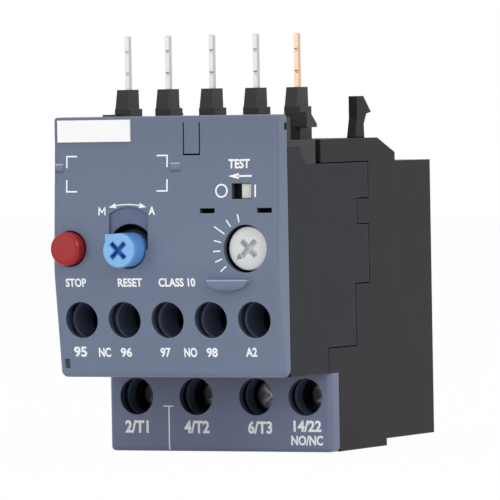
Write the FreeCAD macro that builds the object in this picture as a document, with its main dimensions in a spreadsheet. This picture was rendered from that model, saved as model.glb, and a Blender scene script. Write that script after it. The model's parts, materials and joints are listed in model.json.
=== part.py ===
import FreeCAD, Part

import math
import os

import Sketcher
from FreeCAD import Placement, Rotation, Vector

# Thermal overload relay, plug-on type, as an assembly of separate pieces.
# Frame: +X is to the right seen from the front, +Y runs from the front to the rear, +Z is up.
# The pieces are laid out with y = 0 on the upper part of the front face; each finished piece is
# then placed so that the origin lies in the middle of the depth, at the bottom.

doc = FreeCAD.newDocument("ThermalOverloadRelay")

SIZE_TABLE = [
    # --- overall -----------------------------------------------------------------------------
    ("width", 45.0, "width of the relay"),
    ("rear_y", 65.5, "rear face behind the front face"),
    ("wall", 1.5, "wall of the dark housings"),
    ("seam", 0.22, "gap in the seam between two mouldings"),
    ("seat_gap", 0.05, "gap between pieces that seat on each other"),
    ("run_gap", 0.05, "radial clearance of shafts and plungers"),
    ("free_gap", 0.3, "clearance between pieces that move past each other"),
    # --- front cover -------------------------------------------------------------------------
    ("cover_top", 61.4, "top of the front cover"),
    ("cover_bottom", 14.4, "bottom of the front cover"),
    ("cover_depth", 3.95, "rear edge of the cover's flanks"),
    ("cover_wall", 1.4, "wall of the covers"),
    ("notch_deep", 0.95, "depth of the catch notches in the flanks' rear edges"),
    ("notch_low", 58.6, "lower end of the catch notches"),
    ("notch_high", 59.9, "upper end of the catch notches"),
    ("rest_pad_left", 1.3, "left end of the raised pad right of the label frame"),
    ("rest_pad_right", 3.3, "right end of that pad"),
    ("rest_pad_inset", 0.6, "left pad's outer end from the cover's flank"),
    ("rest_pad_inner", -20.3, "inner end of the left pad"),
    ("rest_pad_low", 51.5, "lower edge of both pads"),
    ("rest_pad_high", 53.05, "upper edge of both pads"),
    ("rest_pad_out", 0.42, "how far both pads reach in front of y = 0"),
    ("crease_z", 56.3, "crease between the label strip and the leaning face"),
    ("belly_z", 34.0, "height of the foremost line of the face"),
    ("belly_out", 1.1, "how far the face leans forward there"),
    ("chin_in", 1.4, "how far the face leans back at the bottom"),
    ("belly_round", 20.0, "radius of the soft bend of the face"),
    ("cover_corner", 1.0, "radius of the cover's upright corners"),
    ("cover_edge", 0.6, "radius of the cover's top edge"),
    ("chin_round", 1.2, "radius of the cover's bottom edge"),
    ("strap_left", 3.7, "left side of the snap tab in the label strip"),
    ("strap_right", 7.2, "right side of the snap tab"),
    ("strap_low", 54.3, "lower end of the snap tab"),
    ("strap_high", 60.2, "upper end of the slits beside the snap tab"),
    ("slit", 0.3, "width of the slits round the snap tab"),
    ("vent_low", 43.9, "bottom of the two dark slots"),
    ("vent_high", 44.8, "top of the two dark slots"),
    ("vent_width", 3.0, "width of a dark slot"),
    ("vent_left_x", 8.65, "centre of the left slot"),
    ("vent_right_x", 20.0, "centre of the right slot"),
    ("mark_pit_inset", 1.65, "small pit's centre from the cover's left flank"),
    ("mark_pit_z", 16.9, "height of the small pit"),
    ("mark_pit_width", 1.1, "width of the small pit"),
    ("mark_pit_height", 1.7, "height of the small pit's sides"),
    ("pit_depth", 0.6, "depth of shallow recesses in the face"),
    ("label_left", -21.3, "left side of the marking label"),
    ("label_right", -6.7, "right side of the marking label"),
    ("label_low", 56.9, "bottom of the marking label"),
    ("label_high", 60.85, "top of the marking label"),
    ("label_thick", 0.5, "thickness of the marking label"),
    # --- auxiliary terminals -----------------------------------------------------------------
    ("aux_z", 24.8, "height of the auxiliary terminal screws"),
    ("aux_pitch", 8.65, "pitch of the auxiliary terminals"),
    ("aux_hole", 3.27, "radius of the auxiliary access holes"),
    ("aux_head_y", 11.0, "front of the auxiliary screw heads"),
    ("aux_head", 2.5, "radius of the auxiliary screw heads"),
    ("aux_head_thick", 1.9, "thickness of the auxiliary screw heads"),
    ("aux_shank", 1.5, "radius of the auxiliary screws"),
    ("aux_tip_y", 21.0, "tip of the auxiliary screws"),
    ("aux_plate", 2.8, "half width of the auxiliary clamp plates"),
    ("aux_plate_thick", 0.9, "thickness of the auxiliary clamp plates"),
    ("aux_bar_y", 18.15, "front of the auxiliary terminal bars"),
    ("aux_bar_thick", 1.0, "thickness of the auxiliary terminal bars"),
    ("aux_chamber", 3.3, "half width of an auxiliary terminal chamber"),
    ("aux_chamber_low", 20.5, "floor of the auxiliary terminal chambers"),
    ("aux_chamber_high", 28.9, "roof of the auxiliary terminal chambers"),
    ("aux_entry", 2.7, "half width of an auxiliary wire entry"),
    ("post_half", 1.2, "half width of the fixed contact posts"),
    ("post_top", 39.0, "top of the fixed contact posts"),
    # --- main terminals ----------------------------------------------------------------------
    ("main_z", 10.04, "height of the main terminal screws"),
    ("main_first_x", -16.84, "first main terminal"),
    ("main_pitch", 12.13, "pitch of the main terminals"),
    ("main_last_x", 17.36, "auxiliary terminal beside the main ones"),
    ("main_hole", 3.36, "radius of the main access holes"),
    ("main_head_y", 29.0, "front of the main screw heads"),
    ("main_head", 2.9, "radius of the main screw heads"),
    ("main_head_thick", 1.6, "thickness of the main screw heads"),
    ("main_shank", 1.75, "radius of the main screws"),
    ("main_tip_y", 39.5, "tip of the main screws"),
    ("open_screw_lift", 2.2, "how far the third main screw is unscrewed"),
    ("main_plate", 3.2, "half width of the main clamp plates"),
    ("main_plate_thick", 0.7, "thickness of the main clamp plates"),
    ("main_bar_y", 35.6, "front of the main terminal bars"),
    ("main_bar_thick", 1.1, "thickness of the main terminal bars"),
    ("main_bar_half", 3.3, "half width of the main terminal bars"),
    ("main_bar_low", 5.8, "lower end of the main terminal bars"),
    ("main_leg_low", 15.7, "underside of the bars' rearward legs"),
    ("main_leg_half", 2.2, "half width of the bars' rearward legs"),
    ("main_leg_end", 49.0, "rear end of the bars' rearward legs"),
    ("main_chamber", 3.6, "half width of a main terminal chamber"),
    ("main_chamber_low", 5.5, "floor of the main terminal chambers"),
    ("main_chamber_high", 17.5, "roof of the main terminal chambers"),
    ("main_entry", 2.9, "half width of a main wire entry"),
    ("tunnel_gap", 0.1, "how much wider the screwdriver tunnels are than the cover's holes"),
    # --- lower terminal cover ----------------------------------------------------------------
    ("block_face_y", 20.6, "front face of the lower terminal cover"),
    ("block_back_y", 24.05, "rear edge of its flanks"),
    ("block_corner", 1.0, "radius of its upright corners"),
    ("block_edge", 0.8, "radius of its bottom edge"),
    # --- seam between the front and the rear housing, seen from the side ---------------------
    ("nose_back", 19.8, "rear side of the overhanging nose"),
    ("shelf_z", 19.05, "underside behind the nose"),
    ("step_low_y", 31.75, "lower upright part of the seam"),
    ("step_low_z", 30.35, "lower step of the seam"),
    ("step_high_y", 37.8, "upper upright part of the seam"),
    ("key_y", 32.9, "front of the rear housing's key"),
    ("key_low", 40.95, "bottom of the key"),
    ("key_high", 45.85, "top of the key"),
    ("roof_z", 52.3, "roof of both housings"),
    ("ramp_foot_y", 11.75, "foot of the slant below the pin carrier"),
    ("ramp_head_y", 8.9, "head of the slant"),
    ("ramp_head_z", 55.4, "height of the slant's head"),
    ("foot_y", 44.4, "rear end of the standing foot"),
    ("rear_bottom", 1.3, "underside of the rear housing behind the foot"),
    # --- rear housing ------------------------------------------------------------------------
    ("deck_z", 56.7, "top of the raised deck and of the pin carrier's slab"),
    ("deck_front", 17.8, "front end of the raised deck at its sides"),
    ("deck_slope_y", 42.3, "where the deck starts to slope"),
    ("deck_slope_z", 53.9, "lower end of the deck's slope"),
    ("deck_back", 49.9, "rear end of the deck"),
    ("deck_notch_y", 22.3, "front end of the raised deck between its horns"),
    ("deck_horn", 20.6, "inner side of the deck's horns"),
    ("deck_room_front", 23.9, "front of the room under the deck"),
    ("deck_room_back", 44.4, "rear of the room under the deck"),
    ("deck_room_top", 55.2, "top of the room under the deck"),
    ("phase_wall", 1.2, "wall between two phase chambers"),
    ("phase_top", 44.3, "top of the walls between the phase chambers"),
    ("pit_low", 3.0, "floor of the rear pits"),
    ("pit_front", 43.0, "front of the rear pits"),
    ("room_low", 20.5, "floor of the rooms behind the terminals"),
    ("room_floor", 31.0, "floor of the contact room"),
    ("rear_pocket_front", 22.5, "front of the pocket behind the auxiliary terminals"),
    # --- pin carrier -------------------------------------------------------------------------
    ("slab_back", 15.75, "rear edge of the carrier's slab at its sides"),
    ("slab_tongue", 20.3, "half width of the carrier's tongue"),
    ("tongue_back", 22.0, "rear edge of the tongue"),
    ("brow_back", 5.7, "rear side of the wall behind the cover"),
    ("brow_top", 60.9, "top of the wall behind the cover"),
    ("tower_front", 16.75, "front side of the towers"),
    ("catch_front", 15.6, "front side of the small catch"),
    ("tower_back", 21.7, "rear side of the towers"),
    ("tower_left", 1.22, "tower, left of its pin"),
    ("tower_right", 1.9, "tower, right of its pin"),
    ("tower_top", 62.7, "top of the towers"),
    ("shroud_foot", 1.22, "half width of a shroud at its foot"),
    ("shroud_tip", 1.12, "half width of a shroud at its top"),
    ("shroud_foot_front", 3.35, "shroud's foot, in front of its pin"),
    ("shroud_tip_front", 2.47, "shroud's top, in front of its pin"),
    ("shroud_back", 1.8, "shroud, behind its pin"),
    ("sleeve_top", 66.2, "top of the shrouds"),
    ("catch_y", 17.0, "top corner of the small catch"),
    ("catch_tip_y", 19.8, "tip of the small catch"),
    ("catch_top", 61.7, "top of the small catch"),
    ("catch_tip_z", 59.5, "upper edge of the catch's tip"),
    ("catch_low", 58.9, "underside of the small catch"),
    ("catch_out", 1.95, "how far the small catch stands out"),
    # --- plug pins ---------------------------------------------------------------------------
    ("pin_y", 20.1, "depth of the plug pins"),
    ("pin_inner_x", 8.9, "pins next to the middle one"),
    ("pin_outer_x", 17.15, "outer pins"),
    ("pin_top", 76.0, "tips of the pins"),
    ("pin_half_x", 0.4, "half thickness of the blades"),
    ("pin_half_y", 0.55, "half width of the blades"),
    ("pin_tip", 0.2, "bevel of the blades' tips"),
    ("pin_notch_low", 69.0, "lower notch in the blades"),
    ("pin_notch_high", 73.0, "upper notch in the blades"),
    ("pin_notch", 0.25, "radius of the notches"),
    ("rail_low", 53.9, "underside of the conductors under the deck"),
    ("rail_thick", 0.8, "thickness of these conductors"),
    ("rail_half", 0.8, "half width of these conductors"),
    ("drop_y", 40.2, "front of the conductors' downward legs"),
    ("drop_low", 37.6, "lower end of the downward legs"),
    ("drop_first_x", -19.2, "downward leg of the first phase"),
    ("drop_third_x", 3.4, "downward leg of the third phase"),
    ("jog_start", 25.0, "where the conductors start to turn aside"),
    ("jog_end", 37.0, "where the conductors run straight again"),
    ("link_low", 52.5, "underside of the auxiliary conductor"),
    ("link_y", 27.0, "front of the auxiliary conductor's downward leg"),
    ("link_foot_low", 26.0, "underside of its cross leg"),
    ("link_foot_high", 28.0, "top of its cross leg"),
    ("link_half", 1.0, "half width of the auxiliary conductor"),
    # --- retaining hooks ---------------------------------------------------------------------
    ("hook_outer", 20.55, "outer side of the right hook"),
    ("hook_left", 19.5, "outer side of the left hook"),
    ("hook_thick", 1.6, "thickness of the hooks"),
    ("hook_front", 36.8, "front of a hook's foot"),
    ("hook_foot_back", 41.0, "rear of a hook's foot"),
    ("hook_waist_y", 37.8, "front side of a hook's shank"),
    ("hook_waist_z", 60.4, "height where the shank becomes upright"),
    ("hook_top", 64.35, "top of the hooks"),
    ("hook_head_y", 40.8, "rear end of a hook's top"),
    ("hook_tip_y", 44.0, "tip of the barb"),
    ("hook_tip_z", 61.4, "height of the barb's tip"),
    ("hook_under_y", 42.0, "inner end of the barb's underside"),
    ("hook_under_z", 61.1, "height of the barb's underside"),
    ("hook_neck_z", 59.2, "height of the narrow neck"),
    # --- operating parts ---------------------------------------------------------------------
    ("stop_x", -18.86, "stop button"),
    ("stop_z", 37.7, "height of the stop button"),
    ("stop_radius", 3.05, "radius of the stop button"),
    ("stop_front", 3.3, "how far the stop button stands out"),
    ("stop_round", 0.8, "rounding of the stop button"),
    ("button_hole_gap", 0.2, "gap round the buttons in the cover"),
    ("button_step_y", 0.9, "front of the buttons' collars"),
    ("collar", 3.7, "radius of the buttons' collars"),
    ("collar_thick", 0.8, "thickness of the collars"),
    ("stem", 1.5, "radius of the stop button's stem"),
    ("stop_end", 11.4, "rear end of the stop button's stem"),
    ("cup", 2.7, "inner radius of the spring cups"),
    ("cup_wall", 0.8, "wall of the spring cups"),
    ("cup_floor_y", 8.4, "floor of the spring cups"),
    ("cup_end_y", 9.6, "rear end of the spring cups"),
    ("spring_wire", 0.25, "radius of the spring wire"),
    ("spring_turns", 5.0, "turns of the button springs"),
    ("reset_x", -7.0, "reset button"),
    ("reset_z", 37.45, "height of the reset button"),
    ("knob", 3.1, "radius of the reset knob"),
    ("knob_front", 5.3, "how far the reset knob stands out"),
    ("knob_round", 0.35, "rounding of the knob's front"),
    ("nose_side", 2.6, "side of the knob's nose"),
    ("nose_high", 2.95, "top of the knob's nose"),
    ("nose_foot", 1.0, "foot of the knob's nose"),
    ("selector_stem", 1.0, "radius of the selector's stem"),
    ("selector_end", 7.5, "rear end of the selector's stem"),
    ("plunger", 1.9, "radius of the reset plunger"),
    ("plunger_end", 10.0, "rear end of the reset plunger"),
    ("reset_window_half", 3.4, "half width of the reset opening"),
    ("reset_window_arc", 4.65, "radius of the arched top of the reset opening"),
    ("ramp_left", 4.1, "recess above the knob, to its left"),
    ("ramp_right", 3.8, "recess above the knob, to its right"),
    ("ramp_top", 7.7, "top of the recess above the knob's centre"),
    ("ramp_shoulder", 6.4, "shoulders of the recess above the knob's centre"),
    ("ramp_floor_y", -0.1, "floor of the recess above the knob"),
    ("cross_arm", 1.9, "length of a cross recess's arms"),
    ("cross_width", 0.8, "width of a cross recess's arms"),
    ("cross_depth", 1.2, "depth of the cross recess in the knobs"),
    # --- setting dial ------------------------------------------------------------------------
    ("dial_x", 16.2, "setting dial"),
    ("dial_z", 37.55, "height of the setting dial"),
    ("dial", 3.95, "radius of the dial"),
    ("dial_well", 4.3, "radius of the well round the dial"),
    ("dial_front", 0.55, "front face of the dial"),
    ("dial_thick", 1.85, "thickness of the dial"),
    ("dial_round", 0.3, "rounding of the dial's edge"),
    ("dial_shaft", 1.9, "radius of the dial's shaft"),
    ("dial_journal_end", 9.6, "rear end of the thick shaft"),
    ("dial_tail", 1.2, "radius of the shaft's tail"),
    ("dial_end", 13.0, "rear end of the shaft's tail"),
    ("pointer_depth", 0.35, "depth of the pointer mark"),
    ("pointer_far", 3.2, "outer end of the pointer mark"),
    ("pointer_near", 2.1, "inner end of the pointer mark"),
    ("pointer_half", 0.62, "half width of the pointer mark"),
    ("pointer_turn", 219.0, "direction of the pointer mark"),
    ("cam", 3.2, "radius of the eccentric cam"),
    ("cam_throw", 0.9, "eccentricity of the cam"),
    ("cam_turn", -36.0, "direction of the cam's throw"),
    ("cam_y", 9.75, "front side of the cam"),
    ("cam_thick", 2.4, "thickness of the cam"),
    # --- sealing lug -------------------------------------------------------------------------
    ("lug_left", 8.9, "left end of the sealing lug"),
    ("lug_right", 16.9, "right end of the sealing lug"),
    ("lug_top", 32.0, "top of the sealing lug"),
    ("lug_low", 29.8, "lowest point of the sealing lug"),
    ("lug_out", 2.0, "how far the sealing lug reaches in front of y = 0"),
    # --- test slider -------------------------------------------------------------------------
    ("test_left", 13.47, "left side of the test window"),
    ("test_right", 17.4, "right side of the test window"),
    ("test_low", 46.4, "bottom of the test window"),
    ("test_high", 49.2, "top of the test window"),
    ("test_handle_left", 15.35, "left side of the handle"),
    ("test_inset", 0.1, "gap round the handle in its window"),
    ("test_front", 0.1, "front of the handle"),
    ("test_plate_y", 2.0, "front of the slider's plate"),
    ("test_plate_thick", 1.2, "thickness of the slider's plate"),
    ("test_plate_left", 12.0, "left end of the plate"),
    ("test_plate_right", 20.2, "right end of the plate"),
    ("test_plate_over", 0.5, "how far the plate reaches above and below the window"),
    ("test_travel", 1.75, "travel of the test slider"),
    ("test_finger", 1.2, "thickness of the slider's finger"),
    ("test_finger_end", 11.5, "rear end of the finger"),
    ("rib_left", 7.8, "left side of the rib that carries the test spring"),
    ("rib_right", 8.5, "right side of that rib"),
    ("test_spring", 0.75, "mean radius of the test spring"),
    ("test_wire", 0.15, "radius of the test spring's wire"),
    # --- setting lever -----------------------------------------------------------------------
    ("lever_x", 6.5, "pivot of the setting lever"),
    ("lever_z", 44.5, "height of the setting lever's pivot"),
    ("lever_hub", 2.2, "radius of the lever's hub"),
    ("lever_y", 9.9, "front side of the setting lever"),
    ("lever_thick", 2.0, "thickness of the setting lever"),
    ("lever_nose_x", 12.72, "nose that rides on the cam"),
    ("lever_nose_z", 37.8, "height of that nose"),
    ("lever_nose", 0.75, "radius of the nose"),
    ("axle", 0.9, "radius of the small axles"),
    ("lever_axle_end", 14.5, "rear end of the setting lever's axle"),
    ("comp_half", 0.3, "half thickness of the compensation strip"),
    ("comp_low", 46.4, "lower edge of the compensation strip"),
    ("comp_high", 49.6, "upper edge of the compensation strip"),
    ("comp_end", 26.0, "rear end of the compensation strip"),
    # --- trip slides and bimetals ------------------------------------------------------------
    ("bimetal_first_x", -16.2, "first bimetal"),
    ("bimetal_second_x", -4.7, "second bimetal"),
    ("bimetal_third_x", 6.9, "third bimetal"),
    ("bimetal_y", 46.0, "depth of the bimetals"),
    ("bimetal_half_x", 0.4, "half thickness of the bimetals"),
    ("bimetal_half_y", 2.0, "half width of the bimetals"),
    ("bimetal_low", 19.6, "lower end of the bimetals"),
    ("bimetal_top", 48.3, "upper end of the bimetals"),
    ("clamp_top", 19.3, "top of the clamp that holds a bimetal"),
    ("clamp_half", 1.5, "half width of that clamp"),
    ("sleeve_wall", 0.4, "wall of the insulating sleeves"),
    ("sleeve_low", 22.5, "lower end of the insulating sleeves"),
    ("sleeve_high", 38.5, "upper end of the insulating sleeves"),
    ("ribbon", 0.5, "thickness of the heater ribbon"),
    ("ribbon_height", 0.9, "width of the heater ribbon"),
    ("heater_low", 23.6, "lower end of the heater winding"),
    ("heater_pitch", 1.9, "pitch of the heater winding"),
    ("slide_half_y", 3.7, "half width of the trip slides"),
    ("slide_left", -20.3, "left end of the trip slides"),
    ("slide_right", 14.0, "right end of the trip slides"),
    ("slide_thick", 1.2, "thickness of the trip slides"),
    ("slide_low", 44.4, "underside of the lower slide"),
    ("slide_space", 0.4, "space between the two slides"),
    ("slide_window", 2.0, "free side of the slides' windows"),
    ("trip_travel", 1.6, "travel of the trip slides"),
    ("nudge_x", -16.6, "pushing face of the lower slide's lug"),
    ("nudge_width", 1.4, "width of the lug"),
    ("nudge_front", 39.6, "front of the lug"),
    ("rocker_x", 11.3, "pivot of the differential lever"),
    ("rocker_half", 1.4, "half width of the differential lever"),
    ("rocker_length", 5.2, "length of the differential lever"),
    ("rocker_thick", 1.1, "thickness of the differential lever"),
    # --- trip lever --------------------------------------------------------------------------
    ("trip_x", -15.5, "pivot of the trip lever"),
    ("trip_y", 28.5, "depth of the trip lever's pivot"),
    ("trip_hub", 2.0, "radius of the trip lever's hub"),
    ("trip_hub_low", 33.5, "lower end of the hub"),
    ("trip_hub_high", 47.4, "upper end of the hub"),
    ("trip_arm_half", 0.8, "half width of the lever's arms"),
    ("trip_reach", 41.3, "rear end of the upper arm"),
    ("trip_upper_low", 44.6, "underside of the upper arm"),
    ("trip_upper_high", 46.4, "top of the upper arm"),
    ("trip_lower_low", 34.0, "underside of the lower arm"),
    ("trip_lower_high", 37.0, "top of the lower arm"),
    ("trip_nose_y", 27.2, "depth of the lower arm's nose"),
    # --- contact carriage --------------------------------------------------------------------
    ("carriage_low", 33.0, "underside of the contact carriage"),
    ("carriage_high", 38.0, "top of the contact carriage"),
    ("carriage_front", 14.83, "front of the carriage"),
    ("carriage_bar", 1.9, "thickness of the carriage's rear bar"),
    ("carriage_left", -15.5, "left end of the carriage"),
    ("spine_left", -6.6, "left side of the carriage's spine"),
    ("spine_right", -2.2, "right side of the carriage's spine"),
    ("carriage_back", 26.1, "rear end of the carriage"),
    ("carriage_right", 7.2, "right end of the carriage's rear bar"),
    ("bridge_thick", 0.5, "thickness of the contact bridges"),
    ("bridge_low", 34.4, "lower edge of the contact bridges"),
    ("bridge_high", 37.0, "upper edge of the contact bridges"),
    ("bridge_over", 1.5, "how far a bridge reaches past its contacts"),
    ("rivet", 1.1, "radius of the contact rivets"),
    ("rivet_high", 0.5, "height of a contact rivet"),
    ("contact_gap", 0.02, "gap left between closed contacts"),
    ("guide_half", 0.9, "half width of the carriage's guide rib"),
]


class Size:
    """A length that knows its number and the sheet formula it comes from."""

    def __init__(self, number, formula):
        self.number = number
        self.formula = formula

    def joined(self, other, sign, number):
        return Size(number, "(" + self.formula + " " + sign + " " + other.formula + ")")

    def __add__(self, other):
        other = size_of(other)
        return self.joined(other, "+", self.number + other.number)

    def __radd__(self, other):
        return size_of(other) + self

    def __sub__(self, other):
        other = size_of(other)
        return self.joined(other, "-", self.number - other.number)

    def __rsub__(self, other):
        return size_of(other) - self

    def __mul__(self, other):
        other = size_of(other)
        return self.joined(other, "*", self.number * other.number)

    def __rmul__(self, other):
        return size_of(other) * self

    def __truediv__(self, other):
        other = size_of(other)
        return self.joined(other, "/", self.number / other.number)

    def __neg__(self):
        return size_of(0) - self


def size_of(amount):
    if isinstance(amount, Size):
        return amount
    return Size(float(amount), repr(float(amount)))


def square_root(amount):
    return Size(math.sqrt(amount.number), "sqrt(" + amount.formula + ")")


def ahead(reach, angle):
    """How far a point at this reach and angle lies along the first axis."""
    return reach * Size(math.cos(math.radians(angle.number)), "cos(" + angle.formula + ")")


def aside(reach, angle):
    """How far a point at this reach and angle lies along the second axis."""
    return reach * Size(math.sin(math.radians(angle.number)), "sin(" + angle.formula + ")")


class SizeBook:
    """Gives every alias of the sheet as an attribute."""


def make_sheet():
    """Write the driving sizes into the spreadsheet and return them by name."""
    sheet = doc.addObject("Spreadsheet::Sheet", "Sizes")
    book = SizeBook()
    for row, (alias, number, meaning) in enumerate(SIZE_TABLE, start=1):
        sheet.set("A%d" % row, meaning)
        sheet.set("B%d" % row, str(number))
        sheet.setAlias("B%d" % row, alias)
        setattr(book, alias, Size(number, "Sizes." + alias))
    doc.recompute()
    return book


d = make_sheet()

# sizes that follow from the driving ones
half_width = d.width / 2
slide_front = d.bimetal_y - d.slide_half_y
mid_depth = (d.rear_y - d.knob_front) / 2
aux_xs = [d.aux_pitch * step for step in (-2, -1, 0, 1, 2)]
main_xs = [d.main_first_x + d.main_pitch * step for step in (0, 1, 2)]
lower_xs = main_xs + [d.main_last_x]
pin_xs = [-d.pin_outer_x, -d.pin_inner_x, size_of(0), d.pin_inner_x, d.pin_outer_x]
bimetal_xs = [d.bimetal_first_x, d.bimetal_second_x, d.bimetal_third_x]
phase_walls = [(lower_xs[i] + lower_xs[i + 1]) / 2 for i in range(3)]
spine_x = (d.spine_left + d.spine_right) / 2
BEYOND = size_of(1)

# --- small building blocks --------------------------------------------------------------------

PLANE_TURNS = {
    "XY": Rotation(),
    "XZ": Rotation(Vector(1, 0, 0), 90),
    "YZ": Rotation(Vector(1, 1, 1), 120),
}
ROD_TURNS = {
    "X": Rotation(Vector(0, 1, 0), 90),
    "Y": Rotation(Vector(1, 0, 0), -90),
    "Z": Rotation(),
}


def bind(thing, name, amount):
    """Tie one property to the sheet."""
    thing.setExpression(name, size_of(amount).formula)


DEPTHS = {}


def place(thing, x, y, z, turn=None):
    """Put a primitive at (x, y, z), each tied to the sheet."""
    if turn is not None:
        thing.Placement = Placement(Vector(0, 0, 0), turn)
    for axis, amount in zip("xyz", (x, y, z)):
        bind(thing, ".Placement.Base." + axis, amount)
    DEPTHS[thing.Name] = size_of(y)


def box(name, x, y, z):
    """A block between pairs of coordinates."""
    block = doc.addObject("Part::Box", name)
    for side, (low, high) in zip(("Length", "Width", "Height"), (x, y, z)):
        bind(block, side, high - size_of(low))
    place(block, x[0], y[0], z[0])
    return block


def rod(name, axis, start, radius, length):
    """A cylinder from its start point along X, Y or Z."""
    cylinder = doc.addObject("Part::Cylinder", name)
    bind(cylinder, "Radius", radius)
    bind(cylinder, "Height", length)
    place(cylinder, *start, turn=ROD_TURNS[axis])
    return cylinder


def draw(sketch, loops):
    """Draw closed loops whose points are tied to the sheet.

    A loop is a list of (u, v) points, or ("circle", u, v, radius). A third entry in a point is
    a point that the curve to the next point passes through.
    """
    for loop in loops:
        if loop[0] == "circle":
            draw_circle(sketch, *loop[1:])
        else:
            draw_outline(sketch, loop)


def tie_point(sketch, index, end, u, v):
    for kind, amount in (("DistanceX", size_of(u)), ("DistanceY", size_of(v))):
        line = sketch.addConstraint(Sketcher.Constraint(kind, -1, 1, index, end, amount.number))
        sketch.setExpression("Constraints[%d]" % line, amount.formula)


def draw_circle(sketch, u, v, radius):
    centre = Vector(size_of(u).number, size_of(v).number, 0)
    index = sketch.addGeometry(Part.Circle(centre, Vector(0, 0, 1), size_of(radius).number), False)
    tie_point(sketch, index, 3, u, v)
    line = sketch.addConstraint(Sketcher.Constraint("Radius", index, size_of(radius).number))
    sketch.setExpression("Constraints[%d]" % line, size_of(radius).formula)


def draw_outline(sketch, loop):
    corners = [Vector(size_of(point[0]).number, size_of(point[1]).number, 0) for point in loop]
    edges = []
    for i, point in enumerate(loop):
        start, end = corners[i], corners[(i + 1) % len(loop)]
        if len(point) == 3:
            through = Vector(size_of(point[2][0]).number, size_of(point[2][1]).number, 0)
            curve = Part.Arc(start, through, end)
        else:
            curve = Part.LineSegment(start, end)
        edges.append(sketch.addGeometry(curve, False))
    arcs = [len(point) == 3 for point in loop]
    ends = [arc_ends(sketch, edges[i], corners[i]) if arcs[i] else (1, 2) for i in range(len(loop))]
    for i, point in enumerate(loop):
        after = (i + 1) % len(loop)
        sketch.addConstraint(
            Sketcher.Constraint("Coincident", edges[i], ends[i][1], edges[after], ends[after][0])
        )
        tie_point(sketch, edges[i], ends[i][0], point[0], point[1])
        if arcs[i]:
            helper = sketch.addGeometry(Part.Point(Vector(
                size_of(point[2][0]).number, size_of(point[2][1]).number, 0)), True)
            tie_point(sketch, helper, 1, *point[2])
            sketch.addConstraint(Sketcher.Constraint("PointOnObject", helper, 1, edges[i]))


def arc_ends(sketch, index, start):
    """An arc always runs counter-clockwise, so its first point may be the outline's second."""
    first = sketch.getPoint(index, 1)
    return (1, 2) if first.distanceToPoint(start) < 1e-6 else (2, 1)


def prism(name, plane, loops, low, high):
    """A drawn outline drawn out between two heights on the third axis."""
    sketch = doc.addObject("Sketcher::SketchObject", name + "_outline")
    sketch.Placement = Placement(Vector(0, 0, 0), PLANE_TURNS[plane])
    draw(sketch, loops)
    axis = {"XY": "z", "XZ": "y", "YZ": "x"}[plane]
    bind(sketch, ".Placement.Base." + axis, low)
    extrusion = doc.addObject("Part::Extrusion", name)
    extrusion.Base = sketch
    extrusion.DirMode = "Custom"
    extrusion.Dir = Vector(*(1.0 if axis == letter else 0.0 for letter in "xyz"))
    bind(extrusion, "LengthFwd", high - size_of(low))
    extrusion.Solid = True
    return extrusion


def join(name, pieces):
    """One solid made of several that meet."""
    if len(pieces) == 1:
        return pieces[0]
    fusion = doc.addObject("Part::MultiFuse", name)
    fusion.Shapes = pieces
    fusion.Refine = True
    return fusion


def cut(name, base, tools):
    """A solid with several others taken away."""
    difference = doc.addObject("Part::Cut", name)
    difference.Base = base
    difference.Tool = join(name + "_cuts", tools)
    difference.Refine = True
    return difference


def group(name, pieces):
    """Separate solids kept in one node."""
    compound = doc.addObject("Part::Compound", name)
    compound.Links = pieces
    return compound


def origin_plane(body, role):
    return [feature for feature in body.Origin.OriginFeatures if feature.Role == role][0]


def body_sketch(body, name, role, loops, offset=0):
    """A sketch on one of the body's own planes, moved along the plane's normal."""
    sketch = body.newObject("Sketcher::SketchObject", name)
    sketch.AttachmentSupport = [(origin_plane(body, role), "")]
    sketch.MapMode = "FlatFace"
    bind(sketch, ".AttachmentOffset.Base.z", offset)
    draw(sketch, loops)
    sketch.Visibility = False
    return sketch


def pad(body, name, sketch, length, symmetric=False, reverse=False):
    feature = body.newObject("PartDesign::Pad", name)
    feature.Profile = sketch
    bind(feature, "Length", length)
    feature.SideType = "Symmetric" if symmetric else "One side"
    feature.Reversed = reverse
    doc.recompute()
    return feature


def pocket(body, name, sketch, length, symmetric=False):
    """Cut a sketch away and make sure that it took something."""
    before = body.Shape.Volume
    feature = body.newObject("PartDesign::Pocket", name)
    feature.Profile = sketch
    bind(feature, "Length", length)
    feature.SideType = "Symmetric" if symmetric else "One side"
    doc.recompute()
    if not body.Shape.Volume < before - 1e-6:
        raise RuntimeError(name + " cuts nothing")
    return feature


def front_pocket(body, name, loops, front_y, back_y):
    """Cut loops drawn in the front view, from front_y back to back_y."""
    sketch = body_sketch(body, name + "_outline", "XZ_Plane", loops, -size_of(front_y))
    return pocket(body, name, sketch, size_of(back_y) - size_of(front_y))


def revolve(body, name, role, loops):
    """Turn a half outline about the plane's own vertical sketch axis."""
    sketch = body_sketch(body, name + "_outline", role, loops)
    feature = body.newObject("PartDesign::Revolution", name)
    feature.Profile = sketch
    feature.ReferenceAxis = (sketch, ["V_Axis"])
    feature.Angle = 360
    doc.recompute()
    return feature


def round_edges(body, name, radius, wanted):
    """Fillet the edges of the body's tip that the test picks."""
    tip = body.Tip
    edges = ["Edge%d" % (i + 1) for i, edge in enumerate(tip.Shape.Edges) if wanted(edge)]
    if not edges:
        raise RuntimeError(name + " finds no edge")
    feature = body.newObject("PartDesign::Fillet", name)
    feature.Base = (tip, edges)
    bind(feature, "Radius", radius)
    doc.recompute()
    return feature


def is_along(edge, direction):
    """True for a straight edge that runs in the given direction."""
    if len(edge.Vertexes) != 2:
        return False
    run = edge.Vertexes[1].Point - edge.Vertexes[0].Point
    return abs(edge.Length - run.Length) < 1e-6 and abs(abs(run.dot(direction)) - edge.Length) < 1e-6


def near(first, second):
    return abs(first - size_of(second).number) < 1e-3


NODES = []


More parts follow.
